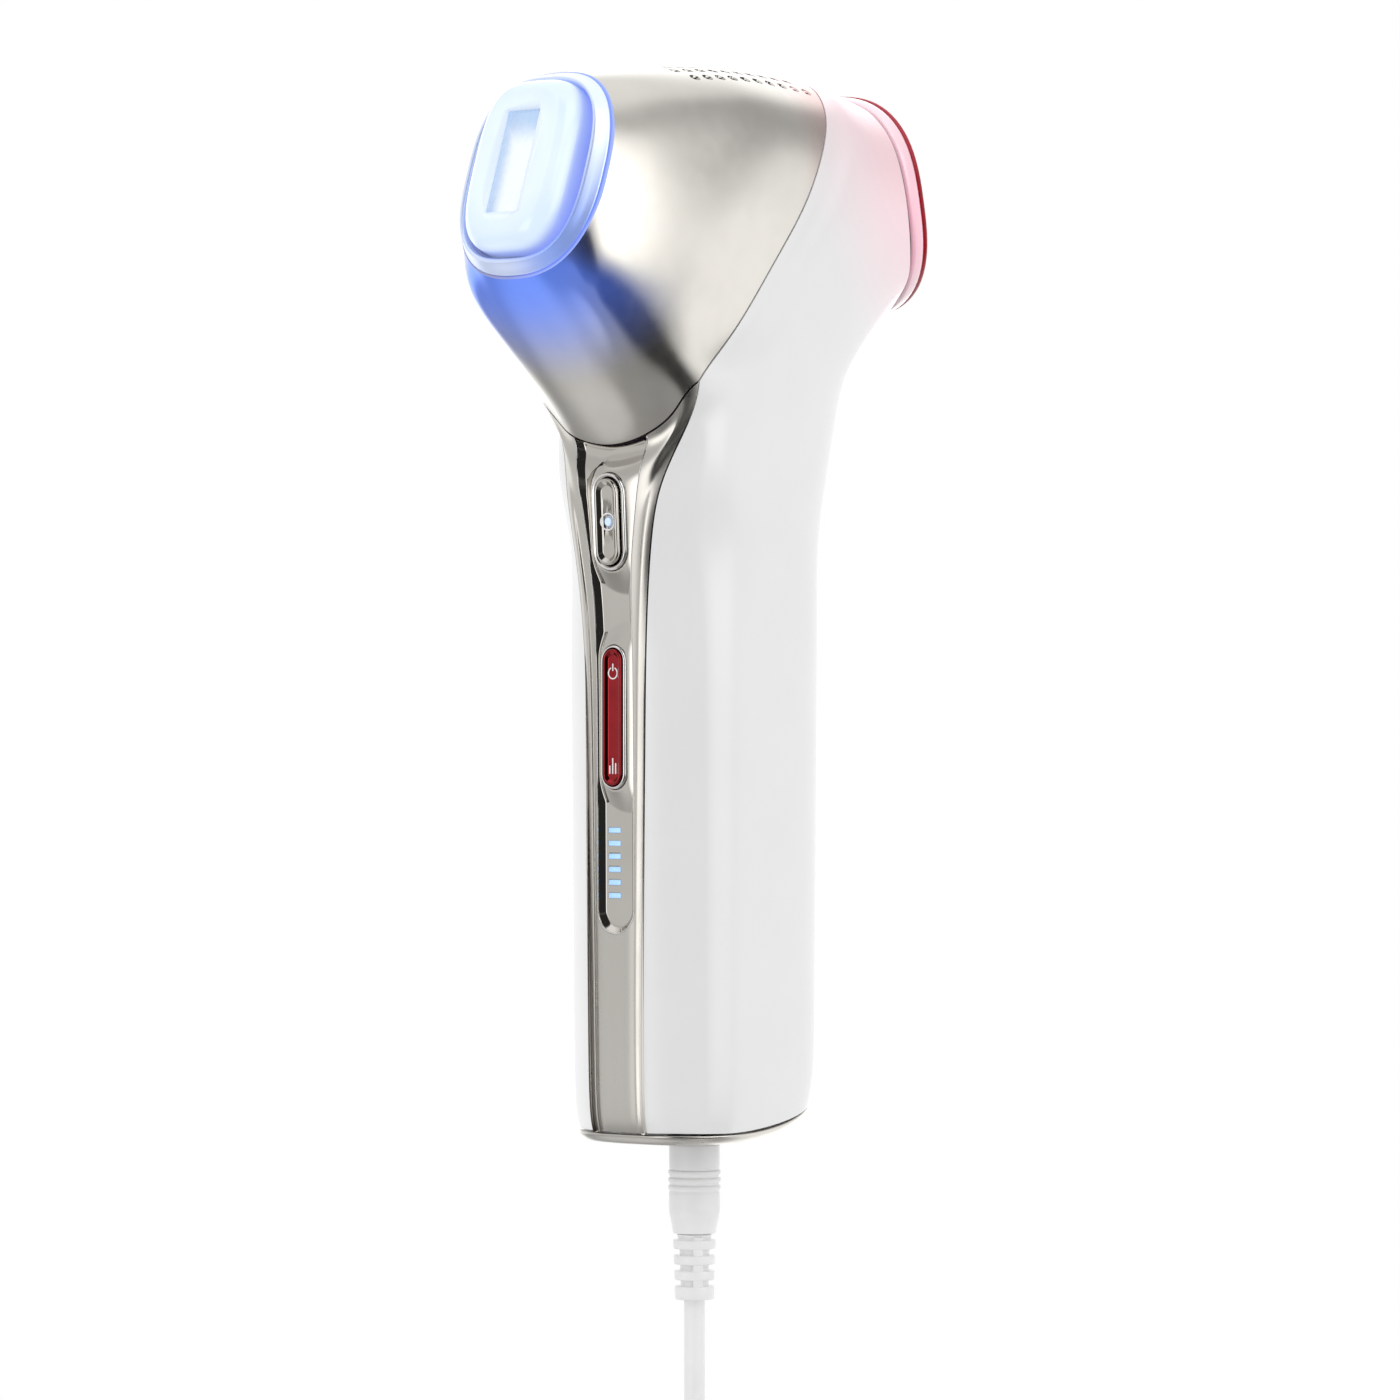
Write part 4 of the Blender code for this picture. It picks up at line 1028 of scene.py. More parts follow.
def vent_tool():
    """Small countersunk holes."""
    narrow, wide = VENT_RADIUS * 0.78, VENT_RADIUS * 1.3
    profile = [(narrow, -4.0), (narrow, -0.55), (wide, 0.0), (wide, 0.6)]
    rings = [at_level(circle(radius, VENT_SIDES), z) for radius, z in profile]
    work = bmesh.new()
    for spot, turn in vent_spots():
        at = Matrix.Translation(spot) @ turn
        rows = [[work.verts.new(at @ (Vector(point) * MM)) for point in ring] for ring in rings]
        for a, b in zip(rows, rows[1:]):
            for q in range(VENT_SIDES):
                n = (q + 1) % VENT_SIDES
                work.faces.new((a[q], a[n], b[n], b[q]))
        work.faces.new(list(reversed(rows[0])))
        work.faces.new(rows[-1])
    return link_mesh("vent_tool", mesh_from(work, "vent_tool"))


def paint_vent_shade(obj):
    """Paints the holes' walls, under their countersinks, near-black as painted shade inside the holes."""
    obj.data.materials.append(VENT_PAINTED_SHADE)
    near, radius, under = 3.5 * MM, VENT_RADIUS * 0.98 * MM, -0.33 * MM
    spots = [(spot, (turn @ Vector((0, 0, 1))).normalized()) for spot, turn in vent_spots()]
    for polygon in obj.data.polygons:
        for spot, axis in spots:
            off = polygon.center - spot
            deep = off.dot(axis)
            if off.length <= near and deep < under and (off - axis * deep).length < radius:
                polygon.material_index = 1


def true_normals(obj):
    """Shades the outer faces with the ideal surface's own normals, so that cuts leave no streaks."""
    mesh = obj.data
    work = bmesh.new()
    work.from_mesh(OUTER)
    work.faces.ensure_lookup_table()
    wanted = [tuple(corner.vector) for corner in mesh.corner_normals]
    for polygon in mesh.polygons:
        _, normal, _, gap = OUTER_TREE.find_nearest(polygon.center)
        if gap > 0.05 * MM or normal.dot(polygon.normal) < 0.9:
            continue
        for loop in polygon.loop_indices:
            spot, _, index, _ = OUTER_TREE.find_nearest(mesh.vertices[mesh.loops[loop].vertex_index].co)
            total = Vector()
            for vertex in work.faces[index].verts:
                total += vertex.normal / max((vertex.co - spot).length, 0.0002 * MM) ** 2
            wanted[loop] = tuple(total.normalized())
    work.free()
    mesh.normals_split_custom_set(wanted)


def side_outline(extra):
    """The panel's right side, from its top down to where its round end starts."""
    zs = [12, 20, 27, 33, 40, 46, 51.5, PANEL_TOP_Z]
    fine_z = np.linspace(PANEL_TOP_Z, PANEL_END_Z, 120)
    smooth = np.interp(fine_z, zs, [PANEL_END_HALF, 5.05, 5.5, 6.3, 7.4, 8.6, 9.6, 9.9])
    for _ in range(6):
        smooth[1:-1] = (smooth[:-2] + 2 * smooth[1:-1] + smooth[2:]) / 4
    return [(x + extra, z) for x, z in zip(smooth, fine_z)]


def panel_outline(extra):
    """The inset panel, seen from the front: round below, wider above, running up under the tongue."""
    right = side_outline(extra)
    radius = PANEL_END_HALF + extra
    turns = [math.radians(-180 * k / 40) for k in range(1, 40)]
    low = [(radius * math.cos(t), PANEL_END_Z + radius * math.sin(t)) for t in turns]
    return right + low + [(-x, z) for x, z in reversed(right)]


SIDE_XS, SIDE_ZS = zip(*reversed(side_outline(0.0)))


def soft_min(a, b, blur):
    """The smaller of two numbers, rounded where they meet."""
    share = min(max(0.5 + 0.5 * (b - a) / blur, 0.0), 1.0)
    return b + (a - b) * share - blur * share * (1 - share)


def pill_distance(x, y, width, height):
    """How far a point lies outside an upright pill."""
    reach = max(abs(y) - (height - width) / 2, 0.0)
    return math.hypot(x, reach) - width / 2


def panel_half(z):
    """The panel's half width at a height."""
    if z < PANEL_END_Z:
        return math.sqrt(max(PANEL_END_HALF**2 - (z - PANEL_END_Z) ** 2, 0.0))
    return float(np.interp(z, SIDE_ZS, SIDE_XS))


def panel_depth(x, z):
    """How far the panel's face lies under the strip's surface: a sloped channel with raised wells in it."""
    if z < PANEL_END_Z:
        edge = PANEL_END_HALF - math.hypot(x, z - PANEL_END_Z)
    else:
        edge = panel_half(z) - abs(x)
    depth = 0.1 + soft_min(max(edge, 0.0) * CHANNEL_SLOPE, CHANNEL_DEPTH, 0.07)
    for side, middle, (width, height) in ((BUTTON_X, BUTTON_Z, BUTTON_WELL), (0.0, ROCKER_Z, ROCKER_WELL)):
        off = pill_distance(x - side, z - middle, width, height)
        past = max(abs(z - middle) - (height - width) / 2, 0.0)
        lean = (x - side) / max(math.hypot(x - side, past), 0.01)
        depth = soft_min(depth, 0.08 + max(off - 0.15, 0.0) * (MOUND_SLOPE - 0.2 * lean), 0.08)
    return depth


def make_panel():
    """The panel's face as a grid that follows its outline, then given its thickness."""
    tongue_x, tongue_z = zip(*TONGUE_EDGE)
    stretched, top_level = 30.0, 49.0
    end = [PANEL_END_Z - PANEL_END_HALF * math.cos(t) for t in np.linspace(0.04, math.pi / 2, 16)]
    levels = end + list(np.linspace(PANEL_END_Z, top_level, 240))[1:]
    across = np.sin(np.linspace(-math.pi / 2, math.pi / 2, 91))
    points, faces = [], []
    for z in levels:
        for share in across:
            x, height = (panel_half(z) - 0.12) * share, z
            top = float(np.interp(x, tongue_x, tongue_z)) - 0.25
            if z >= stretched:
                height = stretched + (z - stretched) * (top - stretched) / (top_level - stretched)
            if height > stretched:
                x = (panel_half(height) - 0.12) * share
            points.append((x, surface_y(x, height) + panel_depth(x, height), height))
    wide = len(across)
    for row in range(len(levels) - 1):
        for k in range(wide - 1):
            a = row * wide + k
            faces.append((a, a + 1, a + wide + 1, a + wide))
    panel = mesh_object("inset_panel", points, faces)
    flip_towards(panel, Vector((0, -1, 0)))
    thicken(panel, 1.1)
    return bake_modifiers(panel)


def flip_towards(obj, direction):
    """Turns an open sheet's faces so that most look along the direction."""
    total = Vector()
    for polygon in obj.data.polygons:
        total += polygon.normal * polygon.area
    if total.dot(direction) < 0:
        obj.data.flip_normals()


metal_head = shell_of("metal_head", 0, SHELL)
cut(metal_head, vent_tool())
finish_piece(metal_head, HEAD_METAL, "champagne_metal", "head_shell")
metal_head.data.shade_smooth()
paint_vent_shade(metal_head)
true_normals(metal_head)

metal_strip = shell_of("metal_strip", 1, STRIP_SHELL)
cut(metal_strip, prism("panel_opening", panel_outline(0.02), -8, 8, FRONT))
finish_piece(metal_strip, STRIP_METAL, "champagne_metal", "front_strip")
true_normals(metal_strip)

white_housing = shell_of("white_housing", 2, SHELL)
finish_piece(white_housing, SHELL_WHITE, "white_gloss", "rear_housing")
true_normals(white_housing)

inset_panel = make_panel()


def control_frame(z, lean=0.0, x=0.0):
    """On the strip's front at height z: X across, Y up the handle, Z out of it."""
    tilt = math.radians(lean)
    return frame_at((x, front_y(0, z), z), (1, 0, 0), (0, -math.sin(tilt), math.cos(tilt)))


BUTTON = control_frame(BUTTON_Z, 3.0, BUTTON_X)
ROCKER = control_frame(ROCKER_Z)
holes = [prism("button_hole", pill(8.8, 19.6), -9, 9, BUTTON)]
holes.append(prism("rocker_hole", pill(6.6, 28.7), -9, 9, ROCKER))
for z in LIGHT_ZS:
    holes.append(prism("light_hole", pill(3.16, 1.06, 0.2, 3, (LIGHT_X, 0)), -9, 9, control_frame(z)))
cut(inset_panel, *holes)
finish_piece(inset_panel, PANEL_METAL, "polished_champagne", "control_panel")


def make_trim():
    """A fine polished bead along the panel's opening."""
    section = [(0.0, 0.10), (0.25, 0.0), (0.75, 0.0), (1.0, 0.12), (1.0, 0.9), (0.0, 0.9)]
    rings = []
    for (x0, z0), (x1, z1) in zip(panel_outline(-0.03), panel_outline(-0.25)):
        spots = [(x0 + (x1 - x0) * share, z0 + (z1 - z0) * share, depth) for share, depth in section]
        rings.append([(x, surface_y(x, z) + depth - 0.06, z) for x, z, depth in spots])
    return lofted("panel_trim", rings)


def tongue_tool():
    """All that lies above the tongue's edge."""
    outline = [(x, z - 0.2) for x, z in TONGUE_EDGE]
    outline += [(TONGUE_EDGE[-1][0], 80.0), (TONGUE_EDGE[0][0], 80.0)]
    return prism("tongue_tool", outline, -10, 10, FRONT)


finish_piece(cut(make_trim(), tongue_tool()), CHROME, "bright_metal")


def cap_ring(a, b, height, follow=1.0, power=SECTION_POWER):
    """A ring of the base cap; follow says how much of the edge's rise towards the back it takes."""
    ring = even_oval((a, b), power, 0, 128)
    return [(x, y, height + (base_edge(y) - BASE_Z) * follow) for x, y, _ in ring]


CAP_ROWS = [
    (18.7, 22.4, -85.7), (18.85, 22.55, -85.85), (18.75, 22.45, -86.2), (18.3, 22.0, -86.7),
    (17.7, 21.4, -87.2), (16.9, 20.6, -87.6), (15.2, 18.9, -87.85, 0.95), (11.0, 14.0, -88.0, 0.8),
    (6.2, 7.4, -88.12, 0.4), (3.9, 3.9, -88.2, 0.0, 2.0), (3.5, 3.5, -88.1, 0.0, 2.0),
    (3.4, 3.4, -87.8, 0.0, 2.0),
    (3.4, 3.4, -86.6, 0.0, 2.0), (10.8, 13.8, -86.4, 0.8), (16.4, 20.1, -86.3), (17.0, 20.7, -85.7),
]
base_trim = lofted("base_trim", [cap_ring(*row) for row in CAP_ROWS], loop=True)
finish_piece(base_trim, STRIP_METAL, "champagne_metal", "base_cap")


# ---------------------------------------------------------------- heads


def hoop(name, rings, where, mat, slot, *nodes, body="device"):
    """A closed hoop as a finished piece."""
    return finish_piece(lofted(name, rings, where, loop=True), mat, slot, *nodes, body=body)


BEZEL_ROWS = [
    (17.55, 21.15, 0.2), (17.6, 21.2, 0.42), (17.45, 21.05, 0.62), (17.2, 20.8, 0.8),
    (16.5, 20.2, 1.8, 2.6),
    (15.9, 19.65, 2.6, 2.7), (15.65, 19.42, 2.86, 2.75), (15.3, 19.1, 2.95, 2.85),
    (14.95, 18.75, 2.86, 2.9),
    (14.7, 18.5, 2.55, 2.95), (14.6, 18.4, 2.1, 2.95), (14.5, 18.3, -3.0, 3.0), (15.4, 19.2, -3.0, 2.85),
    (15.4, 19.2, 0.2, 2.85),
]
GAP_ROWS = [
    (14.35, 18.15, 1.2), (14.35, 18.15, -2.8), (12.6, 18.0, -2.8, 3.2), (12.6, 17.95, -1.6, 3.2),
    (13.9, 17.9, -1.4), (14.0, 17.95, 1.2),
]
SEAT_ROWS = [
    (18.05, 21.65, -0.55), (18.05, 21.65, -0.2), (17.95, 21.55, -0.12), (17.2, 20.8, -0.12),
    (17.2, 20.8, -0.55),
]
ICE_ROWS = [
    (12.3, 17.9, -3.0), (12.3, 17.9, 2.8), (12.2, 17.8, 3.9), (11.8, 17.45, 5.0), (11.25, 16.95, 5.85),
    (10.6, 16.35, 6.55), (9.9, 15.7, 7.05), (9.3, 15.15, 7.32, 3.5), (8.6, 14.5, 7.45, 3.5),
    (7.2, 13.0, 7.5, 3.5),
]
hoop("window_frame", ovals(WINDOW_POWER, BEZEL_ROWS), WINDOW, BEZEL_METAL, "bright_metal", "window_bezel")
hoop("lit_gap_wall", ovals(3.0, GAP_ROWS), WINDOW, GAP_BLUE, "ice_block")
hoop("bezel_seat", ovals(WINDOW_POWER, SEAT_ROWS), WINDOW, GAP_BLUE, "ice_block")

ice_block = lofted("ice_block", ovals(3.4, ICE_ROWS, 112, 0.3), WINDOW)
flash_hole = pill(FLASH_SIZE[0] + 0.2, FLASH_SIZE[1] + 0.2, 0.5, 4)
cut(ice_block, prism("flash_opening", flash_hole, 5.6, 12, WINDOW))
finish_piece(ice_block, ICE, "ice_block", "cooling_block")

flash_outline = pill(*FLASH_SIZE, 0.5, 4)
flash_face = pill(FLASH_SIZE[0] - 0.25, FLASH_SIZE[1] - 0.25, 0.45, 4)
flash_rings = [at_level(flash_outline, 5.62), at_level(flash_outline, 6.9), at_level(flash_face, 7.02)]
finish_piece(lofted("flash_glass", flash_rings, WINDOW), FLASH_GLASS, "flash_filter", "flash_filter")

SEAL_ROWS = [(0.85, 0.05), (0.7, 0.3), (0.7, 0.82), (0.85, 1.07), (3.0, 1.07), (3.0, 0.05)]
RING_ROWS = [
    (0.4, 1.1), (0.18, 1.25), (0.05, 1.6), (0, 2.4), (0, 3.4), (0.05, 3.9), (0.18, 4.4),
    (0.4, 4.6), (3.3, 4.6),
    (3.5, 1.1),
]
LENS_ROWS = [
    (0.7, 4.7), (0.35, 4.78), (0.15, 5.0), (0.18, 5.7), (0.5, 6.25), (0.9, 6.44), (2.0, 6.5), (2.7, 6.48),
    (3.0, 6.2), (3.4, 6.2),
]
LENS_MIDDLE = [(9.0, 10.5, 6.4), (2.0, 2.3, 6.5)]
hoop("rear_gasket", rear_ovals(SEAL_ROWS), REAR, SEAL_GREY, "grey_rubber", "rear_seal")
hoop("rear_ring", rear_ovals(RING_ROWS), REAR, REAR_GLOW, "pink_cap", "rear_cap")
lens = lofted("rear_light_lens", rear_ovals(LENS_ROWS) + ovals(REAR_POWER, LENS_MIDDLE), REAR)
finish_piece(lens, RED_LENS, "red_lens", "rear_lens")


# ---------------------------------------------------------------- controls


def surround(name, outer, inner, where, node):
    """A polished pill-shaped ring with a rounded crown that slopes into its opening."""
    crown = [(0, -1.7), (0, 0.05), (0.05, 0.25), (0.18, 0.42), (0.36, 0.48), (0.52, 0.42)]
    bore = [(-0.22, 0.24), (-0.08, 0.1), (0, -0.15), (0, -1.7)]
    rows = [(outer, *row) for row in crown] + [(inner, *row) for row in bore]
    hoop(name, pill_rings(rows), where, CHROME, "bright_metal", node)


surround("button_ring", (8.5, 19.3), (6.1, 17.5), BUTTON, "button_surround")
surround("rocker_ring", (6.3, 28.4), (5.1, 27.4), ROCKER, "rocker_surround")


def key_cap(name, key, low, where):
    """A pill-shaped key with a rounded rim and a sunk face; key is its size, rim, height and sink."""
    size, rim, high, sink = key
    floor_z = high - sink
    rows = [
        (0, low), (0, high - 0.45), (0.06, high - 0.2), (0.2, high - 0.05), (0.38, high),
        (0.5, high - 0.03),
        (0.58, high - 0.09), (rim - 0.08, floor_z + 0.09), (rim, floor_z + 0.03), (rim + 0.15, floor_z),
        (size[0] / 2 - 0.25, floor_z),
    ]
    return lofted(name, pill_rings([(size, *row) for row in rows]), where)


def face_height(x, y, size, rim, high, sink):
    """How high a key's face is at a spot on it."""
    inset = -pill_distance(x, y, size[0], size[1])
    insets = [0.38, 0.5, 0.58, rim - 0.08, rim, rim + 0.15]
    falls = [0.0, 0.03, 0.09, sink - 0.09, sink - 0.03, sink]
    return high - float(np.interp(inset, insets, falls))


def printed(name, rows, key, where, body, slot, closed=False):
    """A thin raised print that follows its key's face; each row is one crossing of its line."""
    rings = []
    for row in rows:
        top = [(x, y, face_height(x, y, *key) + 0.05) for x, y in row]
        rings.append(top + [(x, y, face_height(x, y, *key) - 0.1) for x, y in reversed(row)])
    return finish_piece(lofted(name, rings, where, loop=closed), PRINT_WHITE, slot, body=body)


def arc_rows(inner, outer, start, end, count, height=0.0):
    """Crossings of a ring or an arc, from its inner to its outer edge. A full ring has no last one."""
    rows = []
    for k in range(count if end - start == 360 else count + 1):
        turn = math.radians(start + (end - start) * k / count)
        line = [inner + (outer - inner) * q / 3 for q in range(4)]
        rows.append([(r * math.cos(turn), height + r * math.sin(turn)) for r in line])
    return rows


def bar_rows(x, low, high, width):
    """Crossings of an upright bar with round ends."""
    rows = []
    for k in range(17):
        y = low + (high - low) * (1 - math.cos(math.pi * k / 16)) / 2
        end = min(y - low, high - y)
        half = width / 2
        if end < half:
            half = math.sqrt(max(half**2 - (half - end) ** 2, 0.02**2))
        rows.append([(x - half + 2 * half * q / 3, y) for q in range(4)])
    return rows


# Each key: its size, the width of its rim, its height and how far its face is sunk
BUTTON_KEY = ((5.7, 17.1), 1.35, 1.2, 0.68)
ROCKER_KEY = ((4.7, 27.0), 1.15, 0.85, 0.5)
BUTTON_FACE = BUTTON_KEY[2] - BUTTON_KEY[3]
POWER_Y = 8.7

press_key = key_cap("press_key", BUTTON_KEY, -2.2, BUTTON)
cut(press_key, prism("dot_pocket", pill(1.8, 1.8, 0.899, 8), BUTTON_FACE - 0.5, 3, BUTTON))
finish_piece(press_key, PANEL_METAL, "polished_champagne", "flash_button", body="button")
dot_rows = [(0.85, -0.45), (0.85, -0.02), (0.7, 0.06), (0.3, 0.08)]
dot = lofted("dot_light", [at_level(circle(radius, 32), BUTTON_FACE + z) for radius, z in dot_rows], BUTTON)
finish_piece(dot, DOT_BLUE, "pale_blue_light", "button_light", body="button")
ring_rows = arc_rows(1.5, 1.78, 0, 360, 72)
printed("ring_icon", ring_rows, BUTTON_KEY, BUTTON, "button", "polished_champagne", closed=True)

rocker_key = key_cap("rocker_key", ROCKER_KEY, -1.3, ROCKER)
finish_piece(rocker_key, RED_KEY, "red_key", "power_rocker", body="rocker")
PRINTS = {
    "power_ring_icon": arc_rows(0.98, 1.24, 115, 425, 60, POWER_Y),
    "power_bar_icon": bar_rows(0.0, POWER_Y + 0.4, POWER_Y + 1.9, 0.28),
    "strength_bar_1": bar_rows(-0.78, -11.2, -9.5, 0.3),
    "strength_bar_2": bar_rows(-0.02, -11.2, -8.0, 0.3),
    "strength_bar_3": bar_rows(0.74, -11.2, -9.0, 0.3),
}
for name, rows in PRINTS.items():
    printed(name, rows, ROCKER_KEY, ROCKER, "rocker", "red_key")

for k, z in enumerate(LIGHT_ZS):
    top = front_y(0, z) - surface_y(LIGHT_X, z) - panel_depth(LIGHT_X, z)
    side, crown = pill(3.1, 1.0, 0.18, 3, (LIGHT_X, 0)), pill(2.98, 0.88, 0.16, 3, (LIGHT_X, 0))
    rings = [at_level(side, top - 1.0), at_level(side, top - 0.02), at_level(crown, top + 0.03)]
    lamp = lofted(f"level_lamp_{k + 1}", rings, control_frame(z))
    finish_piece(lamp, LEVEL_BLUE, "pale_blue_light", f"level_light_{k + 1}")


# ---------------------------------------------------------------- plug, lead and adapter


def plug_profile():
    points = [(0, -88.6), (4.8, -88.6), (5.07, -88.9), (5.07, -93.6)]
    for step in range(3):
        top = -93.8 - 1.5 * step
        points += [(4.9, top), (5.27, top - 0.25), (5.27, top - 0.95), (4.9, top - 1.2)]
    points += [(5.12, -98.5), (5.12, -102.3), (4.42, -105.6), (4.3, -106.6), (0, -106.6)]
    return rounded_profile(points, 0.3)


plug_shell = lathed("plug_shell", plug_profile())
finish_piece(plug_shell, LEAD_WHITE, "white_lead", "plug_body", body="lead")


def relief_pieces():
    """The moulded strain relief: a tapered core, four ribs, and webs that bridge the slots on two sides."""
    core = [(0, -106.75), (3.6, -106.75), (3.2, -107.6), (2.95, -111.0), (2.75, -119.2), (2.5, -119.9)]
    core.append((0, -119.9))
    made = [lathed("relief_core", rounded_profile(core, 0.3))]
    for rib in range(4):
        top = -107.8 - 3.1 * rib
        low = top - (1.9 if rib < 3 else 2.7)
        profile = [(0, top), (4.3 - 0.1 * rib, top), (4.22 - 0.1 * rib, low), (0, low)]
        made.append(lathed("relief_rib", rounded_profile(profile, 0.35)))
    for degrees in (-38, 142):
        where = Matrix.Rotation(math.radians(degrees), 4, "Z")
        ends = ((2.4, 4.0, -107.2), (2.2, 3.75, -119.4))
        rings = [[(near, -1, z), (far, -1, z), (far, 1, z), (near, 1, z)] for near, far, z in ends]
        made.append(soften(lofted("relief_web", rings, where), 0.3))
    return made


relief = join("strain_relief_ribs", *relief_pieces())
relief.data.shade_smooth()
relief.data.set_sharp_from_angle(angle=math.radians(40))
finish_piece(relief, LEAD_WHITE, "white_lead", "strain_relief", body="lead")

finish_piece(lead_cord, LEAD_WHITE, "white_lead", "power_cord", "cord_coil", body="lead")

barrel_profile = [(0, -77.4), (2.3, -77.4), (2.72, -77.9), (2.72, -88.3), (0, -88.3)]
barrel = lathed("plug_tip", rounded_profile(barrel_profile, 0.15), None, 48)
finish_piece(barrel, NICKEL, "nickel", "plug_barrel", body="lead")

TIE = frame_at((*COIL_CENTRE, COIL_Z)) @ Matrix.Rotation(math.radians(TIE_ANGLE), 4, "Z")
TIE = TIE @ Matrix.Translation((COIL_RADIUS, 0, 0)) @ Matrix.Rotation(math.pi / 2, 4, "X")
tie_half = [(1.3, 0.9, 2.7), (1.15, 0.75, 3.0), (0.4, 0.1, 3.0)]
tie_steps = tie_half + [(out, up, -level) for out, up, level in reversed(tie_half)]
tie_rows = [(COIL_HALF[0] + out, COIL_HALF[1] + up, level) for out, up, level in tie_steps]
strap = hoop("tie_strap", ovals(2.4, tie_rows), TIE, BLACK, "black_plastic", "coil_tie", body="lead")

ADAPTER = frame_at(ADAPTER_CENTRE)


def rounded_box(name, size, corner, where, seam):
    """A box with soft corners, lofted upwards, with a fine groove all round at the seam's height."""
    levels = []
    for k in range(7):
        turn = math.radians(90 * k / 6)
        levels.append((corner * (1 - math.sin(turn)), -size[2] / 2 + corner * (1 - math.cos(turn))))
    groove = [(0, seam - 0.3), (0.22, seam - 0.15), (0.22, seam + 0.15), (0, seam + 0.3)]
    rings = []
    for inset, z in levels + groove + [(inset, -z) for inset, z in reversed(levels)]:
        outline = pill(size[0] - 2 * inset, size[1] - 2 * inset, max(corner + 1.0 - inset, 0.4), 8)
        rings.append(at_level(outline, z))
    return lofted(name, rings, where)


adapter = rounded_box("adapter_case", ADAPTER_SIZE, 3.0, ADAPTER, 2.0)
finish_piece(adapter, ADAPTER_WHITE, "white_lead", "adapter_body", body="lead")

BLADE_OUTLINE = [(-3.15, 0.2), (3.15, 0.2), (3.15, 14.2), (1.9, 15.6), (-1.9, 15.6), (-3.15, 14.2)]
for side, x in (("left", -6.35), ("right", 6.35)):
    where = ADAPTER @ frame_at((x, -ADAPTER_SIZE[1] / 2, 0), (0, 0, 1), (0, -1, 0))
    blade = prism(f"blade_{side}", BLADE_OUTLINE, -0.75, 0.75, where)
    cut(blade, prism("blade_hole", circle(1.5, 32, (0, 12.0)), -3, 3, where))
    bake_modifiers(soften(blade, 0.2, 2))
    finish_piece(blade, NICKEL, "nickel", f"adapter_blade_{side}", body="lead")

relief_y = COIL_CENTRE[1] - COIL_RADIUS - 2 * CORD_RADIUS
RELIEF = frame_at((ADAPTER_EDGE_X, relief_y, ADAPTER_LEAD_Z), (0, 1, 0), (0, 0, 1))
taper = [(0, 0), (3.6, 0), (3.5, -2.0)]
for step in range(5):
    top, fall = -3.6 - 3.4 * step, 0.18 * step
    slot_r = 2.95 - fall * 0.6
    taper += [(slot_r, top + 0.8), (slot_r, top), (3.45 - fall, top - 0.3), (3.35 - fall, top - 2.2)]
taper += [(2.45, -RELIEF_LENGTH), (0, -RELIEF_LENGTH)]
adapter_relief = lathed("adapter_lead_relief", rounded_profile(taper, 0.25), RELIEF, 40)
finish_piece(adapter_relief, LEAD_WHITE, "white_lead", "adapter_relief", body="lead")


# ---------------------------------------------------------------- CAD nodes that stay

KEPT = {
    MIRROR: ["lamp_reflector"],
    QUARTZ: ["flash_lamp"],
    CERAMIC: ["lamp_holder_top", "lamp_holder_bottom", "trigger_coil"],
    ALUMINIUM: ["heat_sink"],
    BLACK: ["fan_housing", "fan_rotor", "chassis", "flash_switch", "power_switch", "dc_jack"],
    BOARD: ["rear_led_board", "main_board"],
    SLEEVE: ["storage_capacitor"],
    LED_RED: [f"rear_led_{k + 1}" for k in range(5)],
    STEEL: [f"chassis_screw_{k + 1}" for k in range(4)],
}
for mat, names in KEPT.items():
    for name in names:
        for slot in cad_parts[name].material_slots:
            slot.link = "OBJECT"
            slot.material = mat


# ---------------------------------------------------------------- floor, world and light

floor_mesh = bpy.data.meshes.new("floor")
floor_mesh.from_pydata([(-6, -6, 0), (6, -6, 0), (6, 6, 0), (-6, 6, 0)], [], [(0, 1, 2, 3)])
floor = link_mesh("floor", floor_mesh)
floor.location.z = (FLOOR_Z - 0.6) * MM


def fading_floor(near, far):
    """A pale matt floor that fades out between two distances from the middle, in metres."""
    look = Look("pale_floor", Roughness=0.6)
    pale = look.mottled((0.9, 0.9, 0.9), (0.92, 0.92, 0.92), 300.0)
    look.feed(look.shader.inputs["Base Color"], pale)
    spots = look.node("ShaderNodeSeparateXYZ")
    look.feed(spots.inputs[0], look.place)
    away = look.reach(spots.outputs[:2], (1.0, 1.0), (0.0, 0.0))
    fade = look.node("ShaderNodeMixShader")
    look.feed(fade.inputs[0], look.remap(away, near, far))
    look.feed(fade.inputs[1], look.shader.outputs[0])
    look.feed(fade.inputs[2], look.node("ShaderNodeBsdfTransparent").outputs[0])
    look.feed(look.tree.nodes["Material Output"].inputs["Surface"], fade.outputs[0])
    return look.mat


floor_mesh.materials.append(fading_floor(0.2, 0.42))
floor.visible_glossy = False


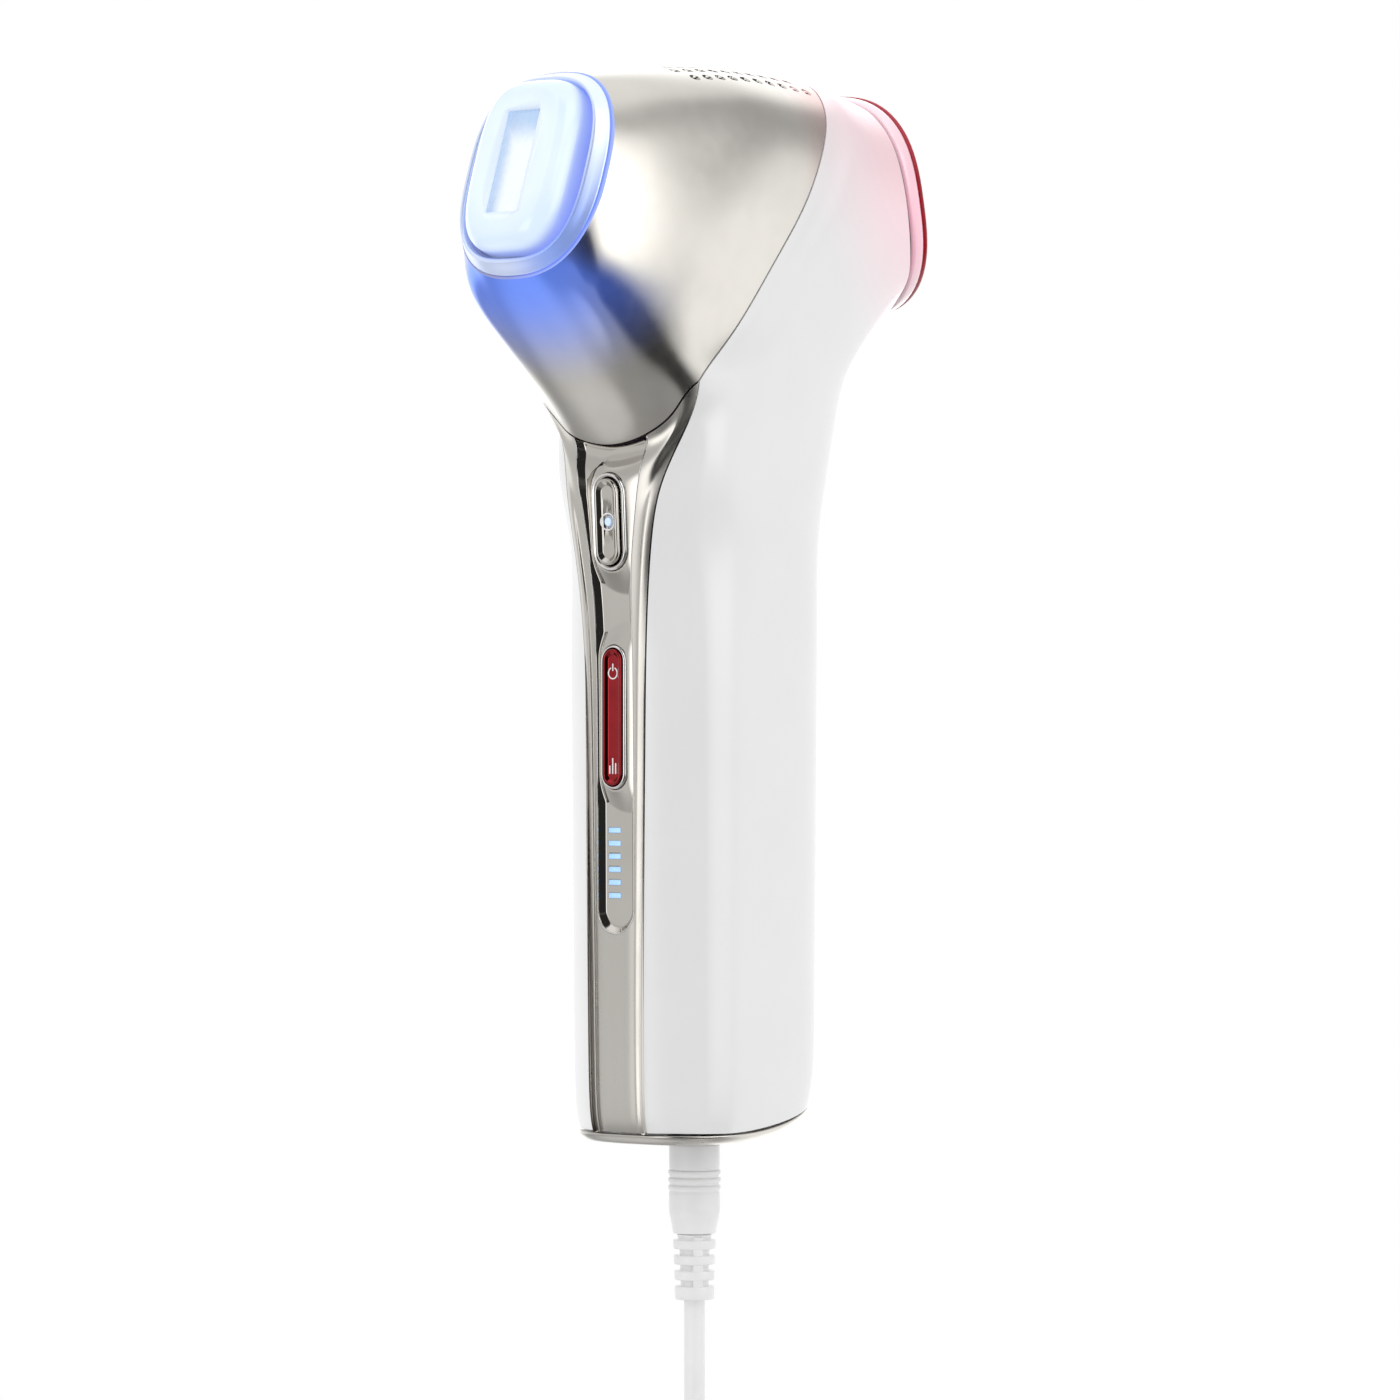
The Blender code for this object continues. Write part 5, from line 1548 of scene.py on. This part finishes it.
class Sky(Nodes):
    """The studio as a world: soft-edged patches for reflections, and an even light for the rest."""

    def __init__(self):
        self.world = bpy.data.worlds.new("studio")
        self.world.use_nodes = True
        self.tree = self.world.node_tree
        SCENE.world = self.world
        self.world.cycles.sampling_method = "NONE"
        self.tree.nodes.clear()
        direction = self.node("ShaderNodeTexCoord").outputs["Generated"]
        turn = math.radians(CAMERA_TURN)
        right = self.dot(direction, (math.cos(turn), math.sin(turn), 0.0))
        near = self.dot(direction, (math.sin(turn), -math.cos(turn), 0.0))
        up = self.dot(direction, (0.0, 0.0, 1.0))
        self.around = self.calc("MULTIPLY", self.calc("ARCTAN2", right, near), 180 / math.pi)
        self.above = self.calc("MULTIPLY", self.calc("ARCSINE", up), 180 / math.pi)

    def dot(self, a, b):
        made = self.node("ShaderNodeVectorMath", operation="DOT_PRODUCT")
        self.feed(made.inputs[0], a)
        self.feed(made.inputs[1], b)
        return made.outputs["Value"]

    def patch(self, value, level, around, above, soft):
        """Lays one patch over what is there: from and to in degrees each way, and its edges' softness."""
        share = 1.0
        for angle, limits, blur in ((self.above, above, soft[1]), (self.around, around, soft[0])):
            if limits is not None:
                rise = self.remap(angle, limits[0] - blur, limits[0] + blur)
                fall = self.remap(angle, limits[1] + blur, limits[1] - blur)
                share = self.calc("MULTIPLY", share, self.calc("MULTIPLY", rise, fall))
        return self.mix(share, value, level)


# Level, degrees round from the camera (+ is to its right), degrees above, softness each way
BASE_LEVEL = 0.7
PATCHES = [
    (0.42, None, (-95, -20), (0, 10)),
    (1.2, None, (46, 95), (0, 10)),
    (0.85, (-160, -85), (-82, -40), (14, 10)),
    (1.7, (142, 200), (-45, 42), (14, 12)),
    (1.7, (-200, -158), (-20, 42), (8, 10)),
    (1.4, (88, 150), (-45, 8), (8, 6)),
    (0.55, (98, 128), (14, 44), (10, 7)),
    (2.5, (34, 82), (-2, 26), (14, 9)),
    (0.05, (14, 80), (-62, -17), (12, 9)),
    (1.3, (-156, -122), (-20, 20), (8, 6)),
    (0.8, (-116, -62), (-20, 20), (8, 8)),
    (2.1, (-58, -31), (-20, 14), (6, 8)),
    (0.03, (-45, 8), (12, 62), (6, 8)),
    (0.12, (-27, 24), (-44, -14), (5, 7)),
    (0.03, (-27, 24), (-26, 16), (4, 7)),
    (2.0, (14, 66), (32, 58), (10, 8)),
]


def make_sky():
    sky = Sky()
    mirrored = BASE_LEVEL
    for patch in PATCHES:
        mirrored = sky.patch(mirrored, *patch)
    rays = sky.node("ShaderNodeLightPath")
    even = sky.calc("ADD", sky.calc("MULTIPLY", sky.remap(sky.above, -30, 80), 0.12), 0.86)
    background = sky.node("ShaderNodeBackground")
    background.inputs["Color"].default_value = (1.0, 1.0, 1.0, 1.0)
    seen = sky.mix(rays.outputs["Is Glossy Ray"], even, mirrored)
    sky.feed(background.inputs["Strength"], sky.mix(rays.outputs["Is Camera Ray"], seen, 1.0))
    sky.feed(sky.node("ShaderNodeOutputWorld").inputs["Surface"], background.outputs[0])


make_sky()
SCENE.view_settings.view_transform = "Standard"


def soft_light(name, spot, target, size, power):
    """A square area light that reflections don't show."""
    data = bpy.data.lights.new(name, "AREA")
    data.energy = power
    data.size = size * MM
    lamp = bpy.data.objects.new(name, data)
    lamp.location = Vector(spot) * MM
    lamp.rotation_mode = "QUATERNION"
    lamp.rotation_quaternion = (Vector(target) - Vector(spot)).to_track_quat("-Z", "Y")
    lamp.visible_glossy = False
    SCENE.collection.objects.link(lamp)


soft_light("key", (700, -700, 900), (0, 0, 20), 900, 1.6)
